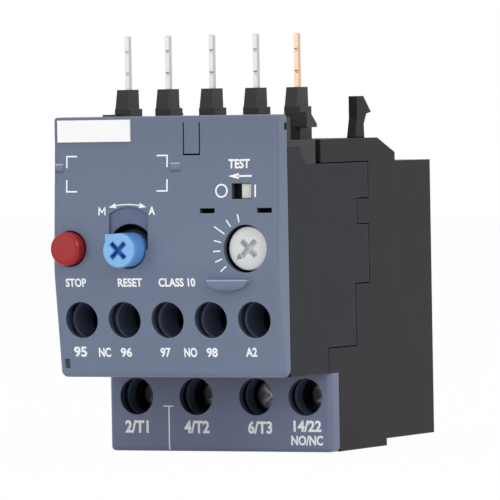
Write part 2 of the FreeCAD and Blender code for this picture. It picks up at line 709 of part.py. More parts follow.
def node(thing, name):
    """Name a finished sub-part and put it into the relay's own frame."""
    thing.Label = name
    bind(thing, ".Placement.Base.y", DEPTHS.get(thing.Name, size_of(0)) - mid_depth)
    NODES.append(thing)
    return thing


def axis_body(name):
    """A body for a turned piece; its sketches are drawn about the body's own Z axis."""
    return doc.addObject("PartDesign::Body", name)


def node_on_axis(thing, name, x, z, y=0):
    """Place a turned piece with its own Z axis along the relay's +Y."""
    thing.Label = name
    place(thing, x, size_of(y) - mid_depth, z, turn=ROD_TURNS["Y"])
    NODES.append(thing)
    return thing


# --- covers -----------------------------------------------------------------------------------

X_AXIS = Vector(1, 0, 0)
Z_AXIS = Vector(0, 0, 1)


def face_outline(inset):
    """Side view of the front cover, or of its inside when inset is the wall."""
    return [
        (0 + inset, d.cover_top - inset),
        (0 + inset, d.crease_z),
        (inset - d.belly_out, d.belly_z),
        (d.chin_in + inset, d.cover_bottom + inset),
    ]


def cross_loop(u, v, arm, width):
    """A cross with its arms along the diagonals, for a screwdriver."""
    near_corner = width / 2 * math.sqrt(2)
    reach = size_of(arm) / math.sqrt(2)
    half = width / 2 / math.sqrt(2)
    loop = []
    for right, up in ((1, 1), (-1, 1), (-1, -1), (1, -1)):
        first = (u + (reach + half) * right, v + (reach - half) * up)
        second = (u + (reach - half) * right, v + (reach + half) * up)
        pair = [first, second] if right * up > 0 else [second, first]
        corner = (u, v + near_corner) if up > 0 else (u, v - near_corner)
        side = (u - near_corner, v) if right < 0 else (u + near_corner, v)
        loop += pair + ([corner] if right * up > 0 else [side])
    return loop


def make_front_cover():
    body = doc.addObject("PartDesign::Body", "FrontCover")
    zero = size_of(0)
    outline = face_outline(zero) + [
        (d.cover_depth, d.cover_bottom),
        (d.cover_depth, d.cover_top),
    ]
    pad(body, "cover_block", body_sketch(body, "cover_side", "YZ_Plane", [outline]), d.width, True)
    round_edges(body, "face_bend", d.belly_round, lambda e: is_along(e, X_AXIS)
                and near(e.CenterOfMass.y, -d.belly_out) and near(e.CenterOfMass.z, d.belly_z))
    round_edges(body, "cover_corners", d.cover_corner, lambda e: e.CenterOfMass.y < d.chin_in.number
                and near(abs(e.CenterOfMass.x), half_width))
    round_edges(body, "chin_edge", d.chin_round, lambda e: is_along(e, X_AXIS)
                and near(e.CenterOfMass.z, d.cover_bottom) and e.CenterOfMass.y < 2)
    round_edges(body, "brow_edge", d.cover_edge, lambda e: is_along(e, X_AXIS)
                and near(e.CenterOfMass.z, d.cover_top) and e.CenterOfMass.y < 1)
    inside = face_outline(d.cover_wall) + [
        (d.cover_depth + BEYOND, d.cover_bottom + d.cover_wall),
        (d.cover_depth + BEYOND, d.cover_top - d.cover_wall),
    ]
    pocket(body, "cover_inside", body_sketch(body, "cover_inner_side", "YZ_Plane", [inside]),
           d.width - 2 * d.cover_wall, True)

    lug = [
        (d.lug_left, d.lug_top),
        (d.lug_left, (d.lug_top * 2 + d.lug_low) / 3,
         ((d.lug_left + d.lug_right) / 2, d.lug_low)),
        (d.lug_right, (d.lug_top * 2 + d.lug_low) / 3),
        (d.lug_right, d.lug_top),
    ]
    lug_sketch = body_sketch(body, "lug_outline", "XZ_Plane", [lug], d.lug_out)
    pad(body, "sealing_lug", lug_sketch, d.lug_out, reverse=True)

    pads = [rectangle(d.rest_pad_inset - half_width, d.rest_pad_inner, d.rest_pad_low,
                      d.rest_pad_high),
            rectangle(d.rest_pad_left, d.rest_pad_right, d.rest_pad_low, d.rest_pad_high)]
    pad(body, "raised_pads", body_sketch(body, "pads_outline", "XZ_Plane", pads, d.rest_pad_out),
        d.rest_pad_out + d.cover_wall / 2, reverse=True)
    catch = rectangle(d.cover_depth - d.notch_deep, d.cover_depth + BEYOND, d.notch_low,
                      d.notch_high)
    pocket(body, "catch_notches", body_sketch(body, "catch_side", "YZ_Plane", [catch]),
           d.width + 2 * BEYOND, True)

    rib = rectangle(d.rib_left, d.rib_right, d.test_low, d.test_high)
    rib_end = d.cover_depth - d.seat_gap
    pad(body, "spring_rib", body_sketch(body, "rib_outline", "XZ_Plane", [rib], -rib_end),
        rib_end - d.cover_wall / 2)

    front = -d.belly_out - BEYOND
    back = d.cover_depth + BEYOND
    half_vent = d.vent_width / 2
    front_pocket(body, "access_holes", [("circle", x, d.aux_z, d.aux_hole) for x in aux_xs],
                 front, back)
    front_pocket(body, "stop_hole", [("circle", d.stop_x, d.stop_z,
                                      d.stop_radius + d.button_hole_gap)], front, back)
    front_pocket(body, "reset_ramp", [[
        (d.reset_x - d.ramp_left, d.reset_z),
        (d.reset_x + d.ramp_right, d.reset_z),
        (d.reset_x + d.ramp_right, d.reset_z + d.ramp_shoulder, (d.reset_x, d.reset_z + d.ramp_top)),
        (d.reset_x - d.ramp_left, d.reset_z + d.ramp_shoulder),
    ]], front, d.ramp_floor_y)
    arch_foot = square_root(d.reset_window_arc * d.reset_window_arc
                            - d.reset_window_half * d.reset_window_half)
    front_pocket(body, "reset_window", [[
        (d.reset_x - d.reset_window_half, d.reset_z, (d.reset_x, d.reset_z - d.reset_window_half)),
        (d.reset_x + d.reset_window_half, d.reset_z),
        (d.reset_x + d.reset_window_half, d.reset_z + arch_foot,
         (d.reset_x, d.reset_z + d.reset_window_arc)),
        (d.reset_x - d.reset_window_half, d.reset_z + arch_foot),
    ]], front, back)
    front_pocket(body, "dial_well", [("circle", d.dial_x, d.dial_z, d.dial_well)], front, back)
    front_pocket(body, "test_window", [rectangle(d.test_left, d.test_right, d.test_low,
                                                 d.test_high)], front, back)
    front_pocket(body, "dark_slots", [
        rectangle(x - half_vent, x + half_vent, d.vent_low, d.vent_high)
        for x in (d.vent_left_x, d.vent_right_x)], front, back)
    front_pocket(body, "snap_tab_slits", [[
        (d.strap_left, d.strap_high),
        (d.strap_left, d.strap_low),
        (d.strap_right, d.strap_low),
        (d.strap_right, d.strap_high),
        (d.strap_right - d.slit, d.strap_high),
        (d.strap_right - d.slit, d.strap_low + d.slit),
        (d.strap_left + d.slit, d.strap_low + d.slit),
        (d.strap_left + d.slit, d.strap_high),
    ]], front, back)
    pit_x = d.mark_pit_inset - half_width
    front_pocket(body, "small_pit", [rectangle(
        pit_x - d.mark_pit_width / 2, pit_x + d.mark_pit_width / 2,
        d.mark_pit_z - d.mark_pit_height / 2, d.mark_pit_z + d.mark_pit_height / 2)],
        front, d.chin_in + d.pit_depth / 2)
    return node(body, "front_cover")


def rectangle(left, right, low, high):
    return [(left, low), (right, low), (right, high), (left, high)]


def make_marking_label():
    return node(box("MarkingLabel", (d.label_left, d.label_right), (-d.label_thick, size_of(0)),
                    (d.label_low, d.label_high)), "marking_label")


def make_terminal_cover():
    body = doc.addObject("PartDesign::Body", "TerminalCover")
    outline = rectangle(d.block_face_y, d.block_back_y, size_of(0), d.cover_bottom - d.seat_gap)
    pad(body, "block", body_sketch(body, "block_side", "YZ_Plane", [outline]), d.width, True)
    round_edges(body, "block_corners", d.block_corner, lambda e: is_along(e, Z_AXIS)
                and near(e.CenterOfMass.y, d.block_face_y))
    round_edges(body, "block_edge", d.block_edge, lambda e: is_along(e, X_AXIS)
                and near(e.CenterOfMass.z, 0) and near(e.CenterOfMass.y, d.block_face_y))
    inside = rectangle(d.block_face_y + d.cover_wall, d.block_back_y + BEYOND, d.cover_wall,
                       d.cover_bottom + BEYOND)
    pocket(body, "block_inside", body_sketch(body, "block_inner_side", "YZ_Plane", [inside]),
           d.width - 2 * d.cover_wall, True)
    front_pocket(body, "access_holes", [("circle", x, d.main_z, d.main_hole) for x in lower_xs],
                 d.block_face_y - BEYOND, d.block_back_y - BEYOND)
    return node(body, "terminal_cover")


# --- housings ---------------------------------------------------------------------------------


def seam_outline(inset):
    """The stepped seam from the bottom up, moved rearwards by inset."""
    return [
        (d.nose_back + inset, d.cover_bottom),
        (d.nose_back + inset, d.shelf_z - inset),
        (d.step_low_y + inset, d.shelf_z - inset),
        (d.step_low_y + inset, d.step_low_z - inset),
        (d.step_high_y + inset, d.step_low_z - inset),
        (d.step_high_y + inset, d.key_low + inset),
        (d.key_y + inset, d.key_low + inset),
        (d.key_y + inset, d.key_high - inset),
        (d.step_high_y + inset, d.key_high - inset),
        (d.step_high_y + inset, d.roof_z + inset),
    ]


def spring_cup(name, x, z):
    """The cup in the front wall that holds a button's spring."""
    return rod(name, "Y", (x, d.cover_depth + d.wall, z), d.cup + d.cup_wall,
               d.cup_end_y - d.cover_depth - d.wall)


def make_front_housing():
    front = d.cover_depth + d.seat_gap
    side = [(front, d.cover_bottom)] + seam_outline(size_of(0)) + [
        (d.ramp_foot_y, d.roof_z),
        (d.ramp_head_y, d.ramp_head_z),
        (front, d.ramp_head_z),
    ]
    block = prism("front_block", "YZ", [side], -half_width, half_width)
    inner = (-half_width + d.wall, half_width - d.wall)
    rear = d.step_high_y + BEYOND
    front_wall = d.cover_depth + d.wall
    floor = d.room_floor
    room = cut("front_room", box("front_room_block", inner, (front_wall, rear),
                                 (floor, d.roof_z - d.wall)),
               [spring_cup("stop_cup", d.stop_x, d.stop_z),
                spring_cup("reset_cup", d.reset_x, d.reset_z),
                rod("dial_boss", "Y", (d.dial_x, front_wall, d.dial_z), d.dial_shaft + d.wall,
                    d.dial_journal_end - front_wall - d.free_gap),
                box("guide_rib", (spine_x - d.guide_half, spine_x + d.guide_half),
                    (front_wall, d.step_low_y), (floor, d.carriage_low - d.run_gap))])
    cuts = [
        room,
        box("rear_pocket", inner, (d.rear_pocket_front, rear),
            (d.room_low, d.aux_chamber_high)),
        rod("stop_bore", "Y", (d.stop_x, front, d.stop_z), d.cup, d.cup_floor_y - front),
        rod("stop_stem_bore", "Y", (d.stop_x, front, d.stop_z), d.stem + d.run_gap, d.cup_end_y),
        rod("reset_bore", "Y", (d.reset_x, front, d.reset_z), d.cup, d.cup_floor_y - front),
        rod("plunger_bore", "Y", (d.reset_x, front, d.reset_z), d.plunger + d.run_gap, d.cup_end_y),
        rod("dial_bore", "Y", (d.dial_x, front - BEYOND, d.dial_z), d.dial_shaft + d.run_gap,
            d.dial_journal_end),
        box("finger_slot", (d.test_plate_right - d.test_finger - d.test_travel - d.free_gap,
                            d.test_plate_right + d.free_gap), (front - BEYOND, front_wall + BEYOND),
            (d.test_low - d.free_gap, d.test_high + d.free_gap)),
        box("link_roof_slot", (d.pin_inner_x - d.link_half - d.seat_gap,
                               d.pin_inner_x + d.link_half + d.seat_gap),
            (d.link_y - d.seat_gap, d.link_y + d.rail_thick + d.seat_gap),
            (d.roof_z - d.wall - BEYOND, d.roof_z + BEYOND)),
        box("link_floor_slot", (d.pin_inner_x - d.link_half - d.seat_gap,
                                d.pin_inner_x + d.link_half + d.seat_gap),
            (d.link_y - d.seat_gap, d.link_y + d.rail_thick + d.seat_gap),
            (d.aux_chamber_high - BEYOND, floor + BEYOND)),
        box("link_wall_slot", (aux_xs[4] - d.link_half - d.seat_gap,
                               aux_xs[4] + d.link_half + d.seat_gap),
            (d.aux_bar_y, d.link_y), (d.link_foot_low - d.seat_gap, d.link_foot_high + d.seat_gap)),
    ]
    for i, x in enumerate(aux_xs):
        cuts += aux_chamber(i, x, front)
    return node(cut("FrontHousing", block, cuts), "front_housing")


def aux_chamber(i, x, front):
    """Tunnel, chamber and wire entry of one auxiliary terminal."""
    wire_front = d.aux_head_y + d.aux_head_thick + d.aux_plate_thick
    pieces = [
        rod("aux_tunnel%d" % i, "Y", (x, front - BEYOND, d.aux_z), d.aux_hole + d.tunnel_gap,
            d.aux_head_y - front + BEYOND),
        box("aux_chamber%d" % i, (x - d.aux_chamber, x + d.aux_chamber),
            (d.aux_head_y - d.tunnel_gap, d.aux_bar_y + d.aux_bar_thick + d.seat_gap),
            (d.aux_chamber_low, d.aux_chamber_high)),
        box("aux_entry%d" % i, (x - d.aux_entry, x + d.aux_entry),
            (wire_front, d.aux_bar_y + d.seat_gap),
            (d.cover_bottom - BEYOND, d.aux_chamber_low + BEYOND)),
        rod("aux_tip_bore%d" % i, "Y", (x, d.aux_bar_y, d.aux_z), d.aux_shank + d.free_gap,
            d.aux_tip_y + d.free_gap - d.aux_bar_y),
    ]
    if i < 4:
        pieces.append(box("post_slot%d" % i, (x - d.post_half - d.seat_gap,
                                              x + d.post_half + d.seat_gap),
                          (d.aux_bar_y - d.seat_gap, d.aux_bar_y + d.aux_bar_thick + d.seat_gap),
                          (d.aux_chamber_high - BEYOND, d.aux_chamber_high + d.wall + BEYOND)))
    return pieces


def make_rear_housing():
    base = size_of(0)
    side = [
        (d.foot_y, base),
        (d.foot_y, d.rear_bottom),
        (d.rear_y, d.rear_bottom),
        (d.rear_y, d.roof_z),
        (d.deck_back, d.roof_z),
        (d.deck_back, d.deck_slope_z),
        (d.deck_slope_y, d.deck_z),
        (d.deck_front, d.deck_z),
        (d.deck_front, d.roof_z + d.seam),
    ] + list(reversed(seam_outline(d.seam))) + [
        (d.block_back_y + d.seat_gap, d.cover_bottom),
        (d.block_back_y + d.seat_gap, base),
    ]
    block = prism("rear_block", "YZ", [side], -half_width, half_width)
    inner = (-half_width + d.wall, half_width - d.wall)
    walls = [-half_width + d.wall - d.phase_wall / 2] + phase_walls
    walls.append(half_width - d.wall + d.phase_wall / 2)
    inner_back = d.rear_y - d.wall
    bar_back = d.main_bar_y + d.main_bar_thick
    cuts = [
        box("deck_notch", (-d.deck_horn, d.deck_horn), (d.deck_front - BEYOND, d.deck_notch_y),
            (d.roof_z, d.deck_z + BEYOND)),
        box("deck_room", inner, (d.deck_room_front, d.deck_room_back),
            (d.roof_z - d.wall, d.deck_room_top)),
        box("pin_slot", (-d.deck_horn + d.wall, d.deck_horn - d.wall),
            (d.deck_notch_y - BEYOND, d.deck_room_front + BEYOND),
            (d.link_low - d.seat_gap, d.rail_low + d.rail_thick + d.seat_gap)),
        box("slide_room", inner, (d.step_high_y - BEYOND, inner_back),
            (d.phase_top, d.roof_z - d.wall)),
        box("front_opening", inner, (d.step_low_y - BEYOND, bar_back + BEYOND),
            (d.room_low, d.roof_z - d.wall)),
    ]
    for i in range(4):
        left = walls[i] + d.phase_wall / 2
        right = walls[i + 1] - d.phase_wall / 2
        cuts.append(box("phase_room%d" % i, (left, right), (bar_back, inner_back),
                        (d.main_leg_low - d.seat_gap, d.phase_top + BEYOND)))
        cuts.append(box("rear_pit%d" % i, (left, right), (d.pit_front, inner_back),
                        (d.pit_low, d.main_leg_low)))
    for i, x in enumerate(lower_xs):
        cuts += main_chamber(i, x)
    return node(cut("RearHousing", block, cuts), "rear_housing")


def main_chamber(i, x):
    """Tunnel, chamber and wire entry of one lower terminal."""
    front = d.block_back_y - BEYOND
    bar_back = d.main_bar_y + d.main_bar_thick
    wire_front = d.main_head_y + d.main_head_thick + d.main_plate_thick
    return [
        rod("main_tunnel%d" % i, "Y", (x, front, d.main_z), d.main_hole + d.tunnel_gap,
            d.main_head_y - front + d.seat_gap),
        box("main_chamber%d" % i, (x - d.main_chamber, x + d.main_chamber),
            (d.main_head_y - d.tunnel_gap, bar_back + d.seat_gap),
            (d.main_chamber_low, d.main_chamber_high)),
        box("main_entry%d" % i, (x - d.main_entry, x + d.main_entry),
            (wire_front, d.main_bar_y), (-BEYOND, d.main_chamber_low + BEYOND)),
        rod("main_tip_bore%d" % i, "Y", (x, d.main_bar_y, d.main_z), d.main_shank + d.free_gap,
            d.main_tip_y + d.free_gap - d.main_bar_y),
    ]


def make_pin_carrier():
    front = d.cover_depth + d.seat_gap
    low = d.roof_z + d.seat_gap
    side = [
        (front, d.ramp_head_z + d.seat_gap),
        (d.ramp_head_y + d.seat_gap, d.ramp_head_z + d.seat_gap),
        (d.ramp_foot_y + d.seat_gap, low),
        (d.slab_back, low),
        (d.slab_back, d.deck_z),
        (front, d.deck_z),
    ]
    pieces = [
        prism("slab", "YZ", [side], -half_width, half_width),
        box("tongue", (-d.slab_tongue, d.slab_tongue), (d.slab_back - BEYOND, d.tongue_back),
            (low, d.deck_z)),
        box("brow", (-half_width + d.run_gap * 2, half_width - d.run_gap * 2),
            (front, d.brow_back), (d.deck_z - BEYOND, d.brow_top)),
    ]
    for i, x in enumerate(pin_xs):
        pieces += tower(i, x)
    catch = [
        (d.catch_front, d.catch_low),
        (d.catch_tip_y, d.catch_low),
        (d.catch_tip_y, d.catch_tip_z),
        (d.catch_y, d.catch_top),
        (d.catch_front, d.catch_top),
    ]
    right = pin_xs[4] + d.tower_right
    left = pin_xs[0] - d.tower_left
    pieces.append(prism("right_catch", "YZ", [catch], right - BEYOND, right + d.catch_out))
    pieces.append(prism("left_catch", "YZ", [catch], left - d.catch_out, left + BEYOND))
    cuts = []
    for i, x in enumerate(pin_xs):
        half = d.link_half if i == 3 else d.rail_half
        cuts.append(box("pin_bore%d" % i,
                        (x - d.pin_half_x - d.seat_gap, x + d.pin_half_x + d.seat_gap),
                        (d.pin_y - d.pin_half_y - d.seat_gap, d.pin_y + d.pin_half_y + d.seat_gap),
                        (low - BEYOND, d.sleeve_top + BEYOND)))
        foot = d.link_low if i == 3 else d.rail_low
        cuts.append(box("rail_slot%d" % i, (x - half - d.seat_gap, x + half + d.seat_gap),
                        (d.pin_y - d.pin_half_y - d.seat_gap, d.tongue_back + BEYOND),
                        (foot - d.seat_gap, foot + d.rail_thick + d.seat_gap)))
    return node(cut("PinCarrier", join("carrier_block", pieces), cuts), "pin_carrier")


def tower(i, x):
    """One tower with its tapered shroud."""
    shroud = doc.addObject("Part::Wedge", "shroud%d" % i)
    foot, tip, back = d.shroud_foot, d.shroud_tip, d.shroud_back
    height = d.sleeve_top - d.tower_top + BEYOND
    for name, amount in (("Xmin", -foot), ("Xmax", foot), ("X2min", -tip), ("X2max", tip),
                         ("Zmin", -back), ("Zmax", d.shroud_foot_front),
                         ("Z2min", -back), ("Z2max", d.shroud_tip_front),
                         ("Ymin", size_of(0)), ("Ymax", height)):
        bind(shroud, name, amount)
    place(shroud, x, d.pin_y, d.tower_top - BEYOND, turn=Rotation(Vector(1, 0, 0), 90))
    return [
        box("tower%d" % i, (x - d.tower_left, x + d.tower_right), (d.tower_front, d.tower_back),
            (d.deck_z - BEYOND, d.tower_top)),
        shroud,
    ]


def make_retaining_hooks():
    side = [
        (d.hook_front, d.deck_z),
        (d.hook_foot_back, d.deck_z),
        (d.hook_head_y, d.hook_neck_z),
        (d.hook_under_y, d.hook_under_z),
        (d.hook_tip_y, d.hook_tip_z),
        (d.hook_head_y, d.hook_top),
        (d.hook_waist_y, d.hook_top),
        (d.hook_waist_y, d.hook_waist_z),
    ]
    hooks = [
        prism("right_hook", "YZ", [side], d.hook_outer - d.hook_thick, d.hook_outer),
        prism("left_hook", "YZ", [side], -d.hook_left, d.hook_thick - d.hook_left),
    ]
    return node(group("RetainingHooks", hooks), "retaining_hooks")


# --- current paths ----------------------------------------------------------------------------


def blade(name, x, foot):
    """A plug pin from its conductor up, with two small notches in its front edge."""
    front = d.pin_y - d.pin_half_y
    bar = box(name + "_blade", (x - d.pin_half_x, x + d.pin_half_x),
              (front, d.pin_y + d.pin_half_y), (foot, d.pin_top))
    rounded = doc.addObject("Part::Chamfer", name + "_tip")
    rounded.Base = bar
    top = [i + 1 for i, edge in enumerate(bar_edges(bar)) if near(edge.CenterOfMass.z, d.pin_top)]
    size = d.pin_tip.number
    rounded.Edges = [(i, size, size) for i in top]
    notches = [rod(name + "_notch%d" % i, "X", (x - d.pin_half_x - BEYOND, front, z), d.pin_notch,
                   (d.pin_half_x + BEYOND) * 2)
               for i, z in enumerate((d.pin_notch_low, d.pin_notch_high))]
    return cut(name + "_pin", rounded, notches)


def bar_edges(bar):
    doc.recompute()
    return bar.Shape.Edges


def rail(name, x, end_x, end_y):
    """The flat conductor under the deck, from a pin to its downward leg."""
    half = d.rail_half
    start = d.pin_y - d.pin_half_y
    outline = [
        (x - half, start),
        (x + half, start),
        (x + half, d.jog_start),
        (end_x + half, d.jog_end),
        (end_x + half, end_y),
        (end_x - half, end_y),
        (end_x - half, d.jog_end),
        (x - half, d.jog_start),
    ]
    return prism(name + "_rail", "XY", [outline], d.rail_low, d.rail_low + d.rail_thick)


def make_main_pins():
    ends = [d.drop_first_x, pin_xs[1], d.drop_third_x]
    end_y = d.drop_y + d.rail_thick
    for i, end_x in enumerate(ends):
        name = "main_pin_%d" % (i + 1)
        half = d.rail_half
        pieces = [
            blade(name, pin_xs[i], d.rail_low),
            rail(name, pin_xs[i], end_x, end_y),
            box(name + "_drop", (end_x - half, end_x + half), (d.drop_y, end_y),
                (d.drop_low, d.rail_low + d.rail_thick)),
            box(name + "_foot", (end_x - half, end_x + half),
                (d.drop_y, winding_front() - d.seat_gap * 2),
                (d.drop_low, d.drop_low + d.rail_thick)),
        ]
        node(join(name + "_body", pieces), name)


def winding_front():
    return d.bimetal_y - d.bimetal_half_y - d.seat_gap * 2 - d.sleeve_wall - d.ribbon


def make_aux_pin_a2():
    name = "aux_pin_a2"
    x, half = pin_xs[3], d.link_half
    end_x = aux_xs[4]
    rear = d.link_y + d.rail_thick
    pieces = [
        blade(name, x, d.link_low),
        box("a2_rail", (x - half, x + half), (d.pin_y - d.pin_half_y, rear),
            (d.link_low, d.link_low + d.rail_thick)),
        box("a2_drop", (x - half, x + half), (d.link_y, rear),
            (d.link_foot_low, d.link_low + d.rail_thick)),
        box("a2_cross", (x - half, end_x + half), (d.link_y, rear),
            (d.link_foot_low, d.link_foot_high)),
        box("a2_end", (end_x - half, end_x + half),
            (d.aux_bar_y + d.aux_bar_thick + d.seat_gap / 2, rear),
            (d.link_foot_low, d.link_foot_high)),
    ]
    screw_way = rod("a2_screw_way", "Y", (end_x, d.aux_bar_y, d.aux_z), d.aux_shank + d.free_gap,
                    d.aux_tip_y + d.free_gap - d.aux_bar_y)
    node(cut("AuxPinA2", join("a2_link", pieces), [screw_way]), name)


def lower_bar(name, x, leg_end):
    """A lower terminal bar: an upright plate with a leg that runs rearwards."""
    back = d.main_bar_y + d.main_bar_thick
    plate = join(name + "_plate_and_leg", [
        box(name + "_plate", (x - d.main_bar_half, x + d.main_bar_half), (d.main_bar_y, back),
            (d.main_bar_low, d.main_leg_low + d.main_bar_thick)),
        box(name + "_leg", (x - d.main_leg_half, x + d.main_leg_half), (d.main_bar_y, leg_end),
            (d.main_leg_low, d.main_leg_low + d.main_bar_thick)),
    ])
    hole = rod(name + "_thread", "Y", (x, d.main_bar_y - BEYOND, d.main_z),
               d.main_shank + d.run_gap, d.main_bar_thick + BEYOND * 2)
    return cut(name + "_bar", plate, [hole])


def make_aux_pin_14_22():
    name = "aux_pin_14_22"
    x = d.main_last_x
    end_y = d.bimetal_y - d.bimetal_half_y
    half = d.rail_half
    pieces = [
        blade(name, pin_xs[4], d.rail_low),
        rail(name, pin_xs[4], x, end_y),
        box("copper_drop", (x - half, x + half), (end_y - d.rail_thick, end_y),
            (d.main_leg_low, d.rail_low + d.rail_thick)),
        lower_bar("copper", x, end_y),
    ]
    node(join("AuxPin1422", pieces), name)


def make_terminal_bars():
    for i, x in enumerate(main_xs):
        name = "terminal_bar_%d" % (i + 1)
        bimetal_x = bimetal_xs[i]
        top = d.main_leg_low + d.main_bar_thick
        clamp = box(name + "_clamp", (bimetal_x - d.clamp_half, bimetal_x + d.clamp_half),
                    (d.bimetal_y - d.bimetal_half_y, d.bimetal_y + d.bimetal_half_y),
                    (top - d.main_bar_thick, d.clamp_top))
        node(join(name + "_body", [lower_bar(name, x, d.main_leg_end), clamp]), name)


def make_contact_posts():
    """Auxiliary terminal bars; the first four carry a fixed contact on a post."""
    names = ["contact_post_95", "contact_post_96", "contact_post_97", "contact_post_98",
             "terminal_bar_a2"]
    back = d.aux_bar_y + d.aux_bar_thick
    for i, name in enumerate(names):
        x = aux_xs[i]
        pieces = [box(name + "_plate", (x - d.post_half - d.wall / 2, x + d.post_half + d.wall / 2),
                      (d.aux_bar_y, back),
                      (d.aux_chamber_low + d.seat_gap, d.aux_chamber_high - d.seat_gap * 2))]
        if i < 4:
            pieces.append(box(name + "_post", (x - d.post_half, x + d.post_half),
                              (d.aux_bar_y, back), (d.aux_chamber_low + BEYOND, d.post_top)))
            middle = (d.bridge_low + d.bridge_high) / 2
            start = d.aux_bar_y - d.rivet_high if i < 2 else d.aux_bar_y
            pieces.append(rod(name + "_rivet", "Y", (x, start, middle), d.rivet,
                              d.rivet_high + d.aux_bar_thick))
        thread = rod(name + "_thread", "Y", (x, d.aux_bar_y - BEYOND, d.aux_z),
                     d.aux_shank + d.run_gap, d.aux_bar_thick + BEYOND * 2)
        node(cut(name + "_body", join(name + "_blank", pieces), [thread]), name)


def screw(name, x, y, z, head, head_thick, shank, length):
    """A terminal screw: head with a cross recess, shank and a pointed end."""
    body = axis_body(name)
    tip = shank / 2
    revolve(body, "turned", "XZ_Plane", [[
        (size_of(0), size_of(0)),
        (head - d.dial_round, size_of(0)),
        (head, d.dial_round),
        (head, head_thick),
        (shank, head_thick),
        (shank, length - tip),
        (shank - tip, length),
        (size_of(0), length),
    ]])
    sketch = body_sketch(body, "recess_outline", "XY_Plane",
                         [cross_loop(size_of(0), size_of(0), head * 2 / 3, d.cross_width)], 0)
    recess = body.newObject("PartDesign::Pocket", "recess")
    recess.Profile = sketch
    recess.Reversed = True
    bind(recess, "Length", head_thick / 2)
    place(body, x, y, z, turn=ROD_TURNS["Y"])
    return body


def make_terminal_screws():
    main = []
    for i, x in enumerate(lower_xs):
        lift = d.open_screw_lift if i == 2 else size_of(0)
        main.append(screw("main_screw%d" % i, x, d.main_head_y - lift, d.main_z, d.main_head,
                          d.main_head_thick, d.main_shank, d.main_tip_y - d.main_head_y))
    node(group("MainScrews", main), "main_terminal_screws")
    aux = [screw("aux_screw%d" % i, x, d.aux_head_y, d.aux_z, d.aux_head, d.aux_head_thick,
                 d.aux_shank, d.aux_tip_y - d.aux_head_y) for i, x in enumerate(aux_xs)]
    node(group("AuxScrews", aux), "aux_terminal_screws")


def clamp_plate(name, x, y, z, half, thick, hole):
    plate = box(name + "_blank", (x - half, x + half), (y, y + thick), (z - half, z + half))
    bore = rod(name + "_bore", "Y", (x, y - BEYOND, z), hole, thick + BEYOND * 2)
    return cut(name, plate, [bore])


def make_clamp_plates():
    gap = d.seat_gap
    main = [clamp_plate("main_plate%d" % i, x, d.main_head_y + d.main_head_thick + gap, d.main_z,
                        d.main_plate, d.main_plate_thick - gap * 2, d.main_shank + d.run_gap)
            for i, x in enumerate(lower_xs)]
    node(group("MainPlates", main), "main_clamp_plates")
    aux = [clamp_plate("aux_plate%d" % i, x, d.aux_head_y + d.aux_head_thick + gap, d.aux_z,
                       d.aux_plate, d.aux_plate_thick - gap * 2, d.aux_shank + d.run_gap)
           for i, x in enumerate(aux_xs)]
    node(group("AuxPlates", aux), "aux_clamp_plates")


# --- operating parts --------------------------------------------------------------------------


def rounded_rim(radius, rounding):
    """Front corner of a turned piece: a quarter round between face and side."""
    slant = rounding / math.sqrt(2)
    return [
        (radius - rounding, size_of(0), (radius - rounding + slant, rounding - slant)),
        (radius, rounding),
    ]


def reversed_pocket(body, name, loops, depth):
    """Cut loops into the front face of a turned piece."""
    sketch = body_sketch(body, name + "_outline", "XY_Plane", loops, 0)
    feature = body.newObject("PartDesign::Pocket", name)
    feature.Profile = sketch
    feature.Reversed = True
    bind(feature, "Length", depth)
    doc.recompute()
    return feature


def make_stop_button():
    body = axis_body("StopButton")
    front = -d.stop_front
    step = d.button_step_y + d.collar_thick - front
    revolve(body, "turned", "XZ_Plane", [
        [(size_of(0), size_of(0))] + rounded_rim(d.stop_radius, d.stop_round) + [
            (d.stop_radius, step),
            (d.stem, step),
            (d.stem, d.stop_end - front),
            (size_of(0), d.stop_end - front),
        ]])
    ears = rectangle(-d.stem, d.stem, -d.collar, d.collar)
    pad(body, "ears", body_sketch(body, "ears_outline", "XY_Plane", [ears], step - d.collar_thick),
        d.collar_thick)
    node_on_axis(body, "stop_button", d.stop_x, d.stop_z, front)


def make_reset_plunger():
    body = axis_body("ResetPlunger")
    front = d.button_step_y + d.seat_gap
    bore = d.selector_stem + d.run_gap
    floor = d.selector_end + d.seat_gap - front
    end = d.plunger_end - front
    revolve(body, "turned", "XZ_Plane", [[
        (bore, size_of(0)),
        (d.collar, size_of(0)),
        (d.collar, d.collar_thick),
        (d.plunger, d.collar_thick),
        (d.plunger, end),
        (size_of(0), end),
        (size_of(0), floor),
        (bore, floor),
    ]])
    node_on_axis(body, "reset_plunger", d.reset_x, d.reset_z, front)


def make_reset_selector():
    """The blue knob; its nose points at the letter of the chosen mode."""
    body = axis_body("ResetSelector")
    front = -d.knob_front
    back = d.button_step_y - front
    end = d.selector_end - front
    revolve(body, "turned", "XZ_Plane", [
        [(size_of(0), size_of(0))] + rounded_rim(d.knob, d.knob_round) + [
            (d.knob, back),
            (d.selector_stem, back),
            (d.selector_stem, end),
            (size_of(0), end),
        ]])
    nose = rectangle(-d.nose_side, size_of(0), -d.nose_high, -d.nose_foot)
    pad(body, "nose", body_sketch(body, "nose_outline", "XY_Plane", [nose], d.knob_round / 3),
        back - d.knob_round / 3)
    cross = cross_loop(size_of(0), size_of(0), d.cross_arm, d.cross_width)
    reversed_pocket(body, "cross_recess", [cross], d.cross_depth)
    node_on_axis(body, "reset_selector", d.reset_x, d.reset_z, front)


